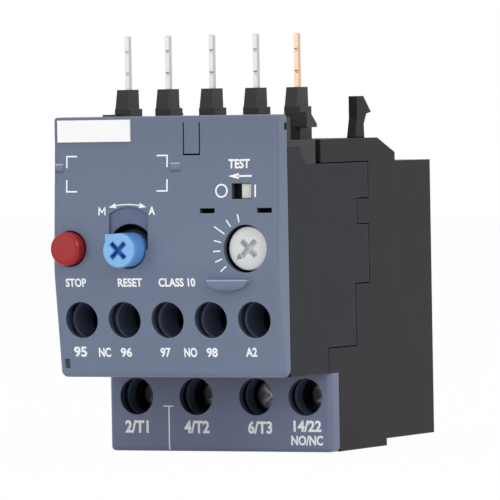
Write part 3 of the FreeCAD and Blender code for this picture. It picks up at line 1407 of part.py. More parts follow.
def coil(name, mean, wire, length, turns):
    """A compression spring of the given overall length about the body's own Z axis."""
    body = axis_body(name)
    sketch = body_sketch(body, "wire_section", "XZ_Plane", [("circle", mean, wire, wire)])
    helix = body.newObject("PartDesign::AdditiveHelix", "turns")
    helix.Profile = sketch
    helix.ReferenceAxis = (sketch, ["V_Axis"])
    helix.Mode = 0
    bind(helix, "Height", length - wire * 2)
    bind(helix, "Pitch", (length - wire * 2) / turns)
    doc.recompute()
    return body


def make_button_springs():
    start = d.button_step_y + d.collar_thick + d.seat_gap * 2
    length = d.cup_floor_y - d.seat_gap - start
    mean = (d.plunger + d.run_gap + d.cup) / 2
    for name, x, z in (("stop_spring", d.stop_x, d.stop_z), ("reset_spring", d.reset_x, d.reset_z)):
        spring = coil(name + "_coil", mean, d.spring_wire, length, d.spring_turns)
        node_on_axis(spring, name, x, z, start)


def make_setting_dial():
    body = axis_body("SettingDial")
    end = d.dial_end - d.dial_front
    journal = d.dial_journal_end - d.dial_front
    revolve(body, "turned", "XZ_Plane", [
        [(size_of(0), size_of(0))] + rounded_rim(d.dial, d.dial_round) + [
            (d.dial, d.dial_thick),
            (d.dial_shaft, d.dial_thick),
            (d.dial_shaft, journal),
            (d.dial_tail, journal),
            (d.dial_tail, end),
            (size_of(0), end),
        ]])
    cross = cross_loop(size_of(0), size_of(0), d.cross_arm, d.cross_width)
    reversed_pocket(body, "cross_recess", [cross], d.cross_depth)
    tip = (ahead(d.pointer_far, d.pointer_turn), -aside(d.pointer_far, d.pointer_turn))
    foot = (ahead(d.pointer_near, d.pointer_turn), -aside(d.pointer_near, d.pointer_turn))
    across = (aside(d.pointer_half, d.pointer_turn), ahead(d.pointer_half, d.pointer_turn))
    arrow = [
        tip,
        (foot[0] + across[0], foot[1] + across[1]),
        (foot[0] - across[0], foot[1] - across[1]),
    ]
    reversed_pocket(body, "pointer", [arrow], d.pointer_depth)
    node_on_axis(body, "setting_dial", d.dial_x, d.dial_z, d.dial_front)


def make_setting_cam():
    centre_x = d.dial_x + ahead(d.cam_throw, d.cam_turn)
    centre_z = d.dial_z + aside(d.cam_throw, d.cam_turn)
    disc = rod("cam_disc", "Y", (centre_x, d.cam_y, centre_z), d.cam, d.cam_thick)
    bore = rod("cam_bore", "Y", (d.dial_x, d.cam_y - BEYOND, d.dial_z), d.dial_tail,
               d.cam_thick + BEYOND * 2)
    node(cut("SettingCam", disc, [bore]), "setting_cam")


def strip_between(name, plane, first, last, half, low, high):
    """A straight bar of constant width between two points of a plane."""
    run = (last[0] - first[0], last[1] - first[1])
    length = square_root(run[0] * run[0] + run[1] * run[1])
    side = (run[1] / length * half, run[0] / length * half)
    return prism(name, plane, [[
        (first[0] - side[0], first[1] + side[1]),
        (first[0] + side[0], first[1] - side[1]),
        (last[0] + side[0], last[1] - side[1]),
        (last[0] - side[0], last[1] + side[1]),
    ]], low, high)


def make_setting_lever():
    back = d.lever_y + d.lever_thick
    hub_at = (d.lever_x, d.lever_y, d.lever_z)
    pieces = [
        rod("lever_hub_disc", "Y", hub_at, d.lever_hub, d.lever_thick),
        rod("lever_nose_pin", "Y", (d.lever_nose_x, d.lever_y, d.lever_nose_z), d.lever_nose,
            d.lever_thick),
        strip_between("lever_arm", "XZ", (d.lever_x, d.lever_z), (d.lever_nose_x, d.lever_nose_z),
                      d.lever_nose, d.lever_y, back),
        box("lever_ear", (d.lever_x - d.lever_nose, d.lever_x + d.lever_nose), (d.lever_y, back),
            (d.lever_z, d.comp_high)),
    ]
    bore = rod("lever_bore", "Y", (d.lever_x, d.lever_y - BEYOND, d.lever_z), d.axle + d.run_gap,
               d.lever_thick + BEYOND * 2)
    node(cut("SettingLever", join("lever_blank", pieces), [bore]), "setting_lever")
    node(rod("LeverAxle", "Y", (d.lever_x, d.cover_depth + d.wall, d.lever_z), d.axle,
             d.lever_axle_end - d.cover_depth - d.wall), "setting_lever_axle")
    node(box("CompStrip", (d.lever_x - d.comp_half, d.lever_x + d.comp_half), (back, d.comp_end),
             (d.comp_low, d.comp_high)), "compensation_strip")


def make_test_slider():
    gap = d.test_inset
    over = d.test_plate_over
    plate_back = d.test_plate_y + d.test_plate_thick
    pieces = [
        box("test_handle", (d.test_handle_left, d.test_right - gap), (d.test_front, plate_back),
            (d.test_low + gap, d.test_high - gap)),
        box("test_plate", (d.test_plate_left, d.test_plate_right), (d.test_plate_y, plate_back),
            (d.test_low - over, d.test_high + over)),
        box("test_finger", (d.test_plate_right - d.test_finger, d.test_plate_right),
            (d.test_plate_y, d.test_finger_end), (d.test_low, d.test_high)),
    ]
    node(join("TestSlider", pieces), "test_slider")
    length = d.test_plate_left - d.rib_right - d.seat_gap * 2
    spring = coil("TestSpring", d.test_spring, d.test_wire, length, d.spring_turns)
    spring.Label = "test_spring"
    place(spring, d.rib_right + d.seat_gap, d.test_plate_y + d.test_plate_thick / 2 - mid_depth,
          (d.test_low + d.test_high) / 2, turn=ROD_TURNS["X"])
    NODES.append(spring)


# --- mechanism --------------------------------------------------------------------------------


def make_bimetals():
    half_x, half_y = d.bimetal_half_x, d.bimetal_half_y
    gap = d.seat_gap
    wall = d.sleeve_wall
    y = d.bimetal_y
    for i, x in enumerate(bimetal_xs):
        number = i + 1
        node(box("Bimetal%d" % number, (x - half_x, x + half_x), (y - half_y, y + half_y),
                 (d.bimetal_low, d.bimetal_top)), "bimetal_strip_%d" % number)
        hole = box("sleeve_hole%d" % number, (x - half_x - gap, x + half_x + gap),
                   (y - half_y - gap, y + half_y + gap), (d.sleeve_low - BEYOND,
                                                         d.sleeve_high + BEYOND))
        tube = box("sleeve_tube%d" % number, (x - half_x - gap - wall, x + half_x + gap + wall),
                   (y - half_y - gap - wall, y + half_y + gap + wall),
                   (d.sleeve_low, d.sleeve_high))
        node(cut("Sleeve%d" % number, tube, [hole]), "insulating_sleeve_%d" % number)
        node(heater_winding(number, x), "heater_winding_%d" % number)


HEATER_TURNS = 7


def heater_winding(number, x):
    """A flat ribbon wound round the sleeve: level on three sides, climbing on the fourth."""
    y = d.bimetal_y
    inner_x = d.bimetal_half_x + d.seat_gap * 2 + d.sleeve_wall
    inner_y = d.bimetal_half_y + d.seat_gap * 2 + d.sleeve_wall
    outer_x, outer_y = inner_x + d.ribbon, inner_y + d.ribbon
    pieces = []
    for turn in range(HEATER_TURNS):
        name = "heater%d_%d_" % (number, turn)
        low = d.heater_low + d.heater_pitch * turn
        high = low + d.ribbon_height
        pieces.append(box(name + "front", (x - outer_x, x + outer_x), (y - outer_y, y - inner_y),
                          (low, high)))
        pieces.append(box(name + "right", (x + inner_x, x + outer_x), (y - outer_y, y + outer_y),
                          (low, high)))
        if turn == HEATER_TURNS - 1:
            break
        climb = d.heater_pitch
        pieces.append(prism(name + "back", "XZ", [[
            (x + outer_x, low),
            (x + outer_x, high),
            (x - outer_x, high + climb),
            (x - outer_x, low + climb),
        ]], y + inner_y, y + outer_y))
        pieces.append(box(name + "left", (x - outer_x, x - inner_x), (y - outer_y, y + outer_y),
                          (low + climb, high + climb)))
    return join("Heater%d" % number, pieces)


def slide_plate(name, low, left_gap, right_gap):
    """A trip slide: a plate with one window for each bimetal."""
    windows = [rectangle(x - d.bimetal_half_x - left_gap, x + d.bimetal_half_x + right_gap,
                         d.bimetal_y - d.bimetal_half_y - d.free_gap,
                         d.bimetal_y + d.bimetal_half_y + d.free_gap) for x in bimetal_xs]
    outline = rectangle(d.slide_left, d.slide_right, slide_front, d.bimetal_y + d.slide_half_y)
    return prism(name, "XY", [outline] + windows, low, low + d.slide_thick)


def make_trip_slides():
    low = d.slide_low
    upper_low = low + d.slide_thick + d.slide_space
    lower = join("LowerSlide", [
        slide_plate("lower_plate", low, d.slide_window, d.free_gap),
        box("nudge", (d.nudge_x - d.nudge_width, d.nudge_x), (d.nudge_front, slide_front + BEYOND),
            (low, low + d.slide_thick)),
    ])
    pin = d.axle * 2 / 3
    pivot = (d.rocker_x, d.bimetal_y)
    pin_hole = rod("pin_hole", "Z", (pivot[0], pivot[1], low - BEYOND), pin + d.run_gap,
                   d.slide_thick + BEYOND * 2)
    node(cut("LowerSlideDone", lower, [pin_hole]), "trip_slide_lower")
    upper = slide_plate("upper_plate", upper_low, d.free_gap, d.slide_window)
    slot = rod("pin_slot", "Z", (pivot[0], pivot[1], upper_low - BEYOND), pin + d.free_gap,
               d.slide_thick + BEYOND * 2)
    node(cut("UpperSlideDone", upper, [slot]), "trip_slide_upper")
    top = upper_low + d.slide_thick + d.seat_gap
    node(join("Rocker", [
        box("rocker_bar", (pivot[0] - d.rocker_half, pivot[0] + d.rocker_half),
            (pivot[1] - d.rocker_length / 2, pivot[1] + d.rocker_length / 2),
            (top, top + d.rocker_thick)),
        rod("rocker_pin", "Z", (pivot[0], pivot[1], low), pin, top - low + d.rocker_thick / 2),
    ]), "differential_lever")


def make_trip_lever():
    low, high = d.trip_lower_low, d.trip_lower_high
    at = (d.trip_x, d.trip_y)
    nose = (spine_x, d.trip_nose_y)
    pieces = [
        rod("trip_hub", "Z", (at[0], at[1], d.trip_hub_low), d.trip_hub,
            d.trip_hub_high - d.trip_hub_low),
        box("trip_upper_arm", (d.trip_x - d.trip_arm_half, d.trip_x + d.trip_arm_half),
            (d.trip_y, d.trip_reach), (d.trip_upper_low, d.trip_upper_high)),
        strip_between("trip_lower_arm", "XY", at, nose, d.trip_arm_half, low, high),
        rod("trip_nose", "Z", (nose[0], nose[1], low), d.trip_arm_half, high - low),
    ]
    bore = rod("trip_bore", "Z", (at[0], at[1], d.trip_hub_low - BEYOND), d.axle + d.run_gap,
               d.trip_hub_high - d.trip_hub_low + BEYOND * 2)
    node(cut("TripLever", join("trip_blank", pieces), [bore]), "trip_lever")
    node(rod("TripAxle", "Z", (at[0], at[1], d.room_floor), d.axle,
             d.roof_z - d.wall - d.room_floor), "trip_lever_axle")


def make_contact_carriage():
    low, high = d.carriage_low, d.carriage_high
    nc_front = d.aux_bar_y - d.rivet_high * 2 - d.contact_gap - d.bridge_thick
    no_front = d.aux_bar_y + d.aux_bar_thick + d.rivet_high * 2 + d.trip_travel + d.contact_gap
    no_back = no_front + d.bridge_thick
    pieces = [
        box("carriage_front_bar", (d.carriage_left, d.spine_right), (d.carriage_front, nc_front),
            (low, high)),
        box("carriage_spine", (d.spine_left, d.spine_right), (d.carriage_front, d.carriage_back),
            (low, high)),
        box("carriage_rear_bar", (d.spine_left, d.carriage_right),
            (no_back, no_back + d.carriage_bar), (low, high)),
    ]
    node(join("Carriage", pieces), "contact_carriage")
    node(contact_bridge("NcBridge", aux_xs[0], aux_xs[1], nc_front, nc_front + d.bridge_thick,
                        nc_front + d.bridge_thick), "nc_contact_bridge")
    node(contact_bridge("NoBridge", aux_xs[2], aux_xs[3], no_front, no_back,
                        no_front - d.rivet_high), "no_contact_bridge")


def contact_bridge(name, left, right, front, back, rivet_front):
    middle = (d.bridge_low + d.bridge_high) / 2
    pieces = [box(name + "_strip", (left - d.bridge_over, right + d.bridge_over), (front, back),
                  (d.bridge_low, d.bridge_high))]
    for side, x in (("left", left), ("right", right)):
        pieces.append(rod(name + side, "Y", (x, rivet_front, middle), d.rivet, d.rivet_high))
    return join(name + "_body", pieces)


# --- build and write --------------------------------------------------------------------------


def build_all():
    make_front_cover()
    make_marking_label()
    make_terminal_cover()
    make_front_housing()
    make_rear_housing()
    make_pin_carrier()
    make_retaining_hooks()
    make_main_pins()
    make_aux_pin_a2()
    make_aux_pin_14_22()
    make_terminal_bars()
    make_contact_posts()
    make_terminal_screws()
    make_clamp_plates()
    make_stop_button()
    make_reset_plunger()
    make_reset_selector()
    make_button_springs()
    make_setting_dial()
    make_setting_cam()
    make_setting_lever()
    make_test_slider()
    make_bimetals()
    make_trip_slides()
    make_trip_lever()
    make_contact_carriage()


def check_all():
    """Stop before anything is written if a feature or a sub-part has failed."""
    doc.recompute()
    for thing in doc.Objects:
        if "Invalid" in thing.State or "Error" in thing.State:
            raise RuntimeError("failed: " + thing.Name + " " + str(thing.State))
    for thing in NODES:
        if thing.Shape.isNull() or not thing.Shape.isValid() or not thing.Shape.Solids:
            raise RuntimeError("bad shape: " + thing.Label)


def write_all():
    os.makedirs("parts", exist_ok=True)
    for thing in NODES:
        thing.Shape.exportStep(os.path.join("parts", thing.Label + ".step"))
        print("%-22s solids %2d  volume %9.2f" % (thing.Label, len(thing.Shape.Solids),
                                                  thing.Shape.Volume))


build_all()
check_all()
write_all()
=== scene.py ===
import json
import math
from contextlib import contextmanager

import bpy
from bpy.props import FloatProperty, FloatVectorProperty, IntProperty, PointerProperty
from mathutils import Matrix, Vector


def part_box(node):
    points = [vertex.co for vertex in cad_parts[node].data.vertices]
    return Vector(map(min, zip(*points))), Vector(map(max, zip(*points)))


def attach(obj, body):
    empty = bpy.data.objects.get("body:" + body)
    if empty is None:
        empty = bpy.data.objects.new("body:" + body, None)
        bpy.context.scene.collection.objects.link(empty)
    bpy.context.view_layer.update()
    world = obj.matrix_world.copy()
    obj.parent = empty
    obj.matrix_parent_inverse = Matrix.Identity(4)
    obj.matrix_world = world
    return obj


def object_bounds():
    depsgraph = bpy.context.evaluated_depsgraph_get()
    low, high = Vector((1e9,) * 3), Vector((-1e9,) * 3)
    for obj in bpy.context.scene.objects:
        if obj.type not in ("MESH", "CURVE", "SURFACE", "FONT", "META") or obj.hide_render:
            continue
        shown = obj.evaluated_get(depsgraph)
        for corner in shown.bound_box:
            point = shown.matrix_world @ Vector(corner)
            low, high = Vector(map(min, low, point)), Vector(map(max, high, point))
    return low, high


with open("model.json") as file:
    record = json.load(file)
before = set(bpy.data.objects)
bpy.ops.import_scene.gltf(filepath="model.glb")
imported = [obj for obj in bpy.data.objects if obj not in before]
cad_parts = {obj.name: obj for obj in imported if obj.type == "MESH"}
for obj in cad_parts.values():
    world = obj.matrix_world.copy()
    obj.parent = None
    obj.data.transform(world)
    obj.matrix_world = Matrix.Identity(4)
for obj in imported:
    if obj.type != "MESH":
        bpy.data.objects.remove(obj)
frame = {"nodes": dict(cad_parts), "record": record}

bl_info = {
    "name": "Thermal Overload Relay",
    "version": (1, 0, 0),
    "blender": (4, 5, 0),
    "location": "3D View > Sidebar > Relay",
    "description": "Dresses the relay with its markings, small mouldings and finishes",
    "category": "Object",
}

CAD_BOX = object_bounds()
NODES = frame["nodes"]
MM = 0.001
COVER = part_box("front_cover")
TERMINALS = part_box("terminal_cover")
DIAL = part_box("setting_dial")
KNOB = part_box("reset_selector")
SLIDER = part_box("test_slider")
# Marks are made on this plane, before the part, and then laid on the covers.
FRONT = COVER[0].y - 20 * MM

# The sizes below are in millimetres.
# Section of the front cover: the reach of the lug and of the face before the label strip, how
# far the chin falls back, and the heights of the crease and of the foremost line.
LUG_OUT, BELLY_OUT, CHIN_IN = 2.0, 1.1, 1.4
CREASE_Z, BELLY_Z = 56.3, 34.0
# Face of the front cover: its rim at the sides and at the top, the deepest shallow floor, the
# depth at which a recess has its full painted shade, and the lowest shallow floor over the foot.
RIM_SIDE, RIM_TOP, SHALLOW, DEEP, FLOORS_FROM = 1.2, 1.0, 1.3, 2.2, 4.0
# The marking pit at the lower left: the cover left of one line and below the other.
PIT_X, PIT_Z = -19.5, 18.2
# Foot and height of the sealing lug and of the raised pads, and a height between the two.
LUG_Z, LUG_TALL, PAD_Z, PAD_TALL, PADS_FROM = 29.8, 2.25, 51.5, 1.55, 45
# Cross recess in the selector and in the dial: half an arm's width, and its reach.
CROSS_ARM, CROSS_REACH = 0.85, 2.05
# Screw heads: the radius, and the depths behind the head's front between which the cross recess
# is painted white as a painted glint.
HEAD_RADIUS, HEAD_GLINT = 2.2, (0.05, 1.5)

# The camera's place in metres and its turn, rise and roll in degrees.
CAMERA_PLACE = (0.538924, -1.10312, 0.066266)
CAMERA_ANGLES = (25.949, 1.391, -0.984)
# Each lamp's place and side in metres; its power is the setting NAME_watts.
LAMPS = {
    "key": ((0.95, -0.6, 0.6), 0.7),
    "fill": ((-0.6, -1.0, 0.35), 0.8),
    "spark": ((0.42, -1.0, 0.34), 0.14),
    "top": ((0.1, 0.1, 1.0), 0.8),
}
# How white the floor is where it is seen directly: the rest is the shadow on it.
FLOOR_GLOW = 0.975


def tint(red, green, blue):
    """The linear colour that shaders take, from one written in values of 0 to 255."""
    def channel(value):
        value /= 255
        return value / 12.92 if value <= 0.04045 else ((value + 0.055) / 1.055) ** 2.4
    return channel(red), channel(green), channel(blue)


def length(title, text, millimetres):
    """A property that holds a length."""
    return FloatProperty(name=title, description=text, default=millimetres * MM, unit="LENGTH",
                         min=0, precision=6)


def colour(title, text, *values):
    """A property that holds a colour."""
    return FloatVectorProperty(name=title, description=text, default=tint(*values),
                               subtype="COLOR", size=3, min=0, max=1)


# --- what a user may change -------------------------------------------------------------------


class RelayMarkings(bpy.types.PropertyGroup):
    """Sizes of everything that is printed on the covers."""
    ink: length("Ink thickness", "How thick the print lies on the covers", 0.08)
    line: length("Line width", "Width of the printed lines", 0.27)
    fine_line: length("Fine line width", "Width of the dial's scale lines", 0.23)
    boldness: FloatProperty(name="Boldness", description="How much the letters' strokes swell",
                            default=0.03, min=0, max=0.05)
    corner_arm: length("Corner arm", "Length of the label frame's corner arms", 2.1)
    frame_width: length("Frame width", "Width of the label frame", 20.25)
    frame_height: length("Frame height", "Height of the label frame", 6.35)
    scale_inner: length("Scale inner radius", "Where the dial's scale lines start", 4.85)
    scale_outer: length("Scale outer radius", "Where the dial's scale lines end", 6.35)
    scale_long: length("Long line radius", "Where the long scale line ends", 7.3)
    off_ring: length("Off ring radius", "Outer radius of the test slider's ring mark", 1.25)
    ring_steps: IntProperty(name="Ring steps", description="Corners of a printed ring",
                            default=48, min=12, max=128)


class RelayDetails(bpy.types.PropertyGroup):
    """Sizes of the holes, the tunnels and the lifted screw, which the finishes follow."""
    main_hole: length("Main hole", "Radius of the terminal cover's screwdriver holes", 3.39)
    screw_lift: length("Screw lift", "How far the third main screw stands unscrewed", 2.2)
    tunnel: length("Tunnel", "Radius within which the housings' tunnels lie", 3.75)


class RelayColours(bpy.types.PropertyGroup):
    """Colours of the relay's finishes."""
    cover: colour("Cover", "Blue-grey moulding of the front cover", 109, 121, 145)
    # Painted highlight along the front cover's edges and on the upper edges of the lug and pads.
    cover_edge: colour("Cover edges", "Polished edges of the front cover", 178, 188, 208)
    terminals: colour("Terminal cover", "Darker blue-grey of the terminal cover", 108, 117, 145)
    front_shell: colour("Front housing", "Near-black moulding of the front housing", 33, 35, 42)
    rear_shell: colour("Rear housing", "Near-black moulding of the rear housing", 33, 30, 36)
    carrier: colour("Pin carrier", "Near-black moulding that holds the pins", 40, 40, 44)
    # Painted shade on the walls of the covers' holes and recesses: the lip colour at the front,
    # the deep colour further in. The lip colour is also the lug's painted underside shade.
    lip: colour("Recess lip", "Front of the recesses in the covers", 70, 79, 98)
    deep: colour("Recess wall", "Depth of the recesses in the covers", 62, 71, 90)
    # Partly the blue-grey lining of the tunnels, and partly painted light: lightened so that the
    # tunnels show light reaching into them.
    tunnel: colour("Tunnel", "Walls of the screwdriver tunnels", 96, 108, 135)
    print_white: colour("Print", "White print on the covers", 252, 253, 255)
    label: colour("Label", "Blank marking label", 255, 255, 255)
    stop_red: colour("Stop button", "Red moulding of the stop button", 160, 10, 14)
    knob_blue: colour("Selector", "Light blue moulding of the reset selector", 128, 184, 238)
    # Painted shade on the shallow recess floors of the front cover.
    floor_tint: colour("Recess floor", "Shallow recesses in the front cover", 96, 105, 136)
    # Painted shade on the selector's side.
    knob_side: colour("Selector side", "Side of the reset selector", 96, 156, 226)
    # Painted shade in the selector's cross recess.
    knob_deep: colour("Selector recess", "Depth of the selector's cross recess", 44, 104, 190)
    # Painted shade on the stop button's side.
    stop_side: colour("Stop button side", "Side of the stop button", 128, 10, 16)
    dial_grey: colour("Dial", "Light grey moulding of the setting dial", 226, 228, 229)
    slider_grey: colour("Test slider", "Pale moulding of the test slider", 214, 216, 206)
    natural: colour("Inner mouldings", "Natural moulding of the levers and slides", 150, 138, 112)
    tin: colour("Tinned brass", "Bright tinned blades and bars", 208, 208, 206)
    copper: colour("Bare copper", "Bare copper blade", 234, 198, 172)
    zinc: colour("Zinc plating", "Screws and clamp plates", 176, 179, 186)
    # Painted shade on the test slider's plate beside its handle.
    slot_dark: colour("Slider's plate", "Test slider beside its handle", 34, 36, 40)
    spring: colour("Spring wire", "Drawn spring wire", 170, 172, 175)
    bimetal: colour("Bimetal", "Rolled bimetal strip", 178, 170, 156)
    mica: colour("Mica sleeve", "Insulation under the heater windings", 216, 204, 178)
    heater: colour("Heater alloy", "Heater ribbon", 150, 142, 130)


class RelayStudio(bpy.types.PropertyGroup):
    """The stage, the light and the camera."""
    floor: length("Floor side", "Side of the square floor", 4000)
    key_watts: FloatProperty(name="Key light", description="Large soft light, right and above",
                             default=4.3, min=0, unit="POWER")
    fill_watts: FloatProperty(name="Fill light", description="Soft light from the left",
                              default=2.1, min=0, unit="POWER")
    spark_watts: FloatProperty(name="Spark light", description="Small light beside the camera",
                               default=0.8, min=0, unit="POWER")
    top_watts: FloatProperty(name="Top light", description="Soft light from straight above",
                             default=3.0, min=0, unit="POWER")
    ambient: FloatProperty(name="Ambient", description="Strength of the room's own light",
                           default=0.5, min=0)
    lens: FloatProperty(name="Lens", description="Focal length of the camera", default=482.1,
                        min=20, unit="CAMERA")


# --- shaders ----------------------------------------------------------------------------------


class Wire:
    """An output of a shader node. Sums and products of wires add the Math nodes for them."""

    def __init__(self, finish, socket):
        self.finish = finish
        self.socket = socket

    def maths(self, operation, first, second):
        return self.finish.add("ShaderNodeMath", {"operation": operation}, {0: first, 1: second})

    def __add__(self, other):
        return self.maths("ADD", self, other)

    __radd__ = __add__

    def __sub__(self, other):
        return self.maths("SUBTRACT", self, other)

    def __rsub__(self, other):
        return self.maths("SUBTRACT", other, self)

    def __mul__(self, other):
        return self.maths("MULTIPLY", self, other)

    __rmul__ = __mul__

    def __truediv__(self, other):
        return self.maths("DIVIDE", self, other)

    def __pow__(self, other):
        return self.maths("POWER", self, other)

    def __gt__(self, other):
        return self.maths("GREATER_THAN", self, other)

    def __lt__(self, other):
        return self.maths("LESS_THAN", self, other)

    def clipped(self):
        return self.finish.add("ShaderNodeClamp", None, {"Value": self})


class Finish:
    """A material in the making."""

    def __init__(self, name, owner=None):
        self.owner = owner or bpy.data.materials.new(name)
        self.owner.use_nodes = True
        self.tree = self.owner.node_tree
        self.tree.nodes.clear()
        self.spot = None

    def add(self, kind, settings=None, inputs=None, output=0):
        """Add one node: its settings first, then the values or wires of its sockets."""
        node = self.tree.nodes.new(kind)
        for key, value in (settings or {}).items():
            if key == "stops":
                ramp = node.color_ramp.elements
                while len(ramp) < len(value):
                    ramp.new(1)
                for stop, (position, shade) in zip(ramp, value):
                    stop.position = position
                    stop.color = (*shade, 1) if isinstance(shade, tuple) else (shade,) * 3 + (1,)
            else:
                setattr(node, key, value)
        for key, value in (inputs or {}).items():
            if isinstance(value, Wire):
                self.tree.links.new(value.socket, node.inputs[key])
            elif value is not None:
                node.inputs[key].default_value = value
        return Wire(self, node.outputs[output])

    def place(self):
        """The piece's own coordinates, in metres."""
        if self.spot is None:
            self.spot = self.add("ShaderNodeTexCoord", output="Object")
        return self.spot

    def axis(self, letter):
        return self.add("ShaderNodeSeparateXYZ", None, {0: self.place()}, letter)

    def noise(self, scale, detail=2, rough=0.5, warp=0, stretch=None):
        vector = self.place()
        if stretch:
            vector = self.add("ShaderNodeMapping", None, {"Vector": vector, "Scale": stretch})
        return self.add("ShaderNodeTexNoise", None,
                        {"Vector": vector, "Scale": scale, "Detail": detail, "Roughness": rough,
                         "Distortion": warp})

    def cells(self, scale):
        return self.add("ShaderNodeTexVoronoi", None, {"Vector": self.place(), "Scale": scale})

    def ramp(self, value, *stops):
        return self.add("ShaderNodeValToRGB", {"stops": stops}, {0: value})

    def mix(self, factor, first, second):
        """Blend two colours."""
        def whole(shade):
            return shade if isinstance(shade, Wire) else (*shade, 1)
        return self.add("ShaderNodeMix", {"data_type": "RGBA"},
                        {0: factor, 6: whole(first), 7: whole(second)}, 2)

    def rounded(self, radius):
        """Normal of the surface with its edges rounded off."""
        return self.add("ShaderNodeBevel", {"samples": 6}, {"Radius": radius})

    def edges(self, radius, sharp=6.0):
        """1 on outer and inner edges, 0 on open faces."""
        flat = self.add("ShaderNodeNewGeometry", output="Normal")
        turned = self.add("ShaderNodeVectorMath", {"operation": "DOT_PRODUCT"},
                          {0: self.rounded(radius), 1: flat}, "Value")
        return ((1 - turned) * sharp).clipped()

    def bump(self, height, distance, strength=1.0, normal=None):
        return self.add("ShaderNodeBump", None, {"Strength": strength, "Distance": distance,
                                                 "Height": height, "Normal": normal})

    def surface(self, **sockets):
        """Close the material with a principled surface; constants go on its own sockets."""
        names = {key.replace("_", " ").title().replace("Ior", "IOR"): value
                 for key, value in sockets.items()}
        return self.closed(self.add("ShaderNodeBsdfPrincipled", None, names))

    def closed(self, skin, kind="ShaderNodeOutputMaterial"):
        """Wire the last shader to an output and give back what the tree belongs to."""
        end = self.tree.nodes.new(kind)
        self.tree.links.new(skin.socket, end.inputs["Surface"])
        return self.owner


def middle_of(corners):
    """Centre of a box in the front view."""
    return (corners[0].x + corners[1].x) / 2, (corners[0].z + corners[1].z) / 2


def scaled(shade, factor):
    """A lighter or darker colour."""
    return tuple(min(1.0, value * factor) for value in shade)


def screw_axes(kind):
    """Where the screwdriver holes of one kind lie in the front view."""
    ways = frame["record"]["physics"]["openings"]
    return [middle_of([Vector(corner) for corner in way["box_m"]]) for way in ways
            if way["name"].startswith(kind + "_screwdriver_way")]


def round_axes(f, axes, radius):
    """1 within a radius of any of the axes that run front to back, 0 elsewhere."""
    east, north = f.axis("X"), f.axis("Z")
    return sum((east - x) ** 2 + (north - z) ** 2 < radius ** 2 for x, z in axes)


def cover_depth(f):
    """How far a point lies behind the front cover's leaning face, in millimetres."""
    height = f.axis("Z") / MM
    above = (height - BELLY_Z) * (BELLY_OUT / (CREASE_Z - BELLY_Z))
    below = (BELLY_Z - height) * ((BELLY_OUT + CHIN_IN) / (BELLY_Z - COVER[0].z / MM))
    lean = above.maths("MAXIMUM", above.maths("MINIMUM", above, BELLY_OUT), below)
    return (f.axis("Y") - COVER[0].y) / MM - LUG_OUT + BELLY_OUT - lean


def within(f, letter, low, high):
    """1 between two places along an axis, 0 elsewhere."""
    return (f.axis(letter) > low) * (f.axis(letter) < high)


def inside_rim(f, low, high):
    """1 between the front cover's flanks and between two heights, 0 elsewhere."""
    return (within(f, "X", COVER[0].x + RIM_SIDE * MM, COVER[1].x - RIM_SIDE * MM)
            * within(f, "Z", low, high))


def shallow_floor(f, depth):
    """1 on faces close behind the front cover's face that look to the front, 0 elsewhere."""
    normal = f.add("ShaderNodeNewGeometry", output="Normal")
    facing = f.add("ShaderNodeSeparateXYZ", None, {0: normal}, "Y") < -0.7
    return facing * (depth < SHALLOW)


def cover_recess(lip, deep):
    """Painted shade on the walls of the holes and windows in the front cover, darker with depth;
    shallow floors stay as they are.
    """
    def shape(f):
        depth = cover_depth(f)
        inner = inside_rim(f, COVER[0].z + RIM_SIDE * MM, COVER[1].z - RIM_TOP * MM)
        pit = (f.axis("X") < PIT_X * MM) * (f.axis("Z") < PIT_Z * MM)
        floor = shallow_floor(f, depth) * (1 - pit)
        tone = f.mix((depth / DEEP).clipped(), lip, deep)
        return f.ramp(depth, (0.15, 0.0), (0.5, 1.0)) * inner * (1 - floor), tone
    return shape


def cover_floors(shade):
    """Painted shade on shallow floors behind the face, such as the one above the reset selector.
    """
    def shape(f):
        depth = cover_depth(f)
        inner = inside_rim(f, COVER[0].z + FLOORS_FROM * MM, CREASE_Z * MM)
        return f.ramp(depth, (0.2, 0.0), (0.5, 1.0)) * shallow_floor(f, depth) * inner, shade
    return shape


def cover_relief(shade, edge_highlight, dark):
    """The sealing lug and the raised pads: a painted highlight on the upper edge over painted
    shade on the underside.
    """
    def shape(f):
        height = f.axis("Z") / MM
        lug = f.ramp((height - LUG_Z) / LUG_TALL, (0.0, dark), (0.3, scaled(shade, 0.85)),
                     (0.55, shade), (0.86, shade), (0.95, edge_highlight))
        pad = f.ramp((height - PAD_Z) / PAD_TALL, (0.0, dark), (0.35, shade), (0.8, shade),
                     (0.92, edge_highlight))
        return cover_depth(f) < -0.12, f.mix(height > PADS_FROM, lug, pad)
    return shape


def holes(axes, radius, front, lip, deep):
    """Painted shade on the walls of round holes behind a flat face, darker with depth."""
    def shape(f):
        depth = (f.axis("Y") - front) / (DEEP * MM)
        return round_axes(f, axes, radius), f.mix(depth.clipped(), lip, deep)
    return shape


def tunnels(axes, radius, end, shade):
    """Walls of the screwdriver tunnels, as far back as the screw heads, in the blue-grey of a
    lining, lightened as painted light.
    """
    def shape(f):
        return round_axes(f, axes, radius) * (f.axis("Y") < end), shade
    return shape


def behind(front, shade):
    """Everything that lies behind a depth."""
    def shape(f):
        return f.axis("Y") > front, shade
    return shape


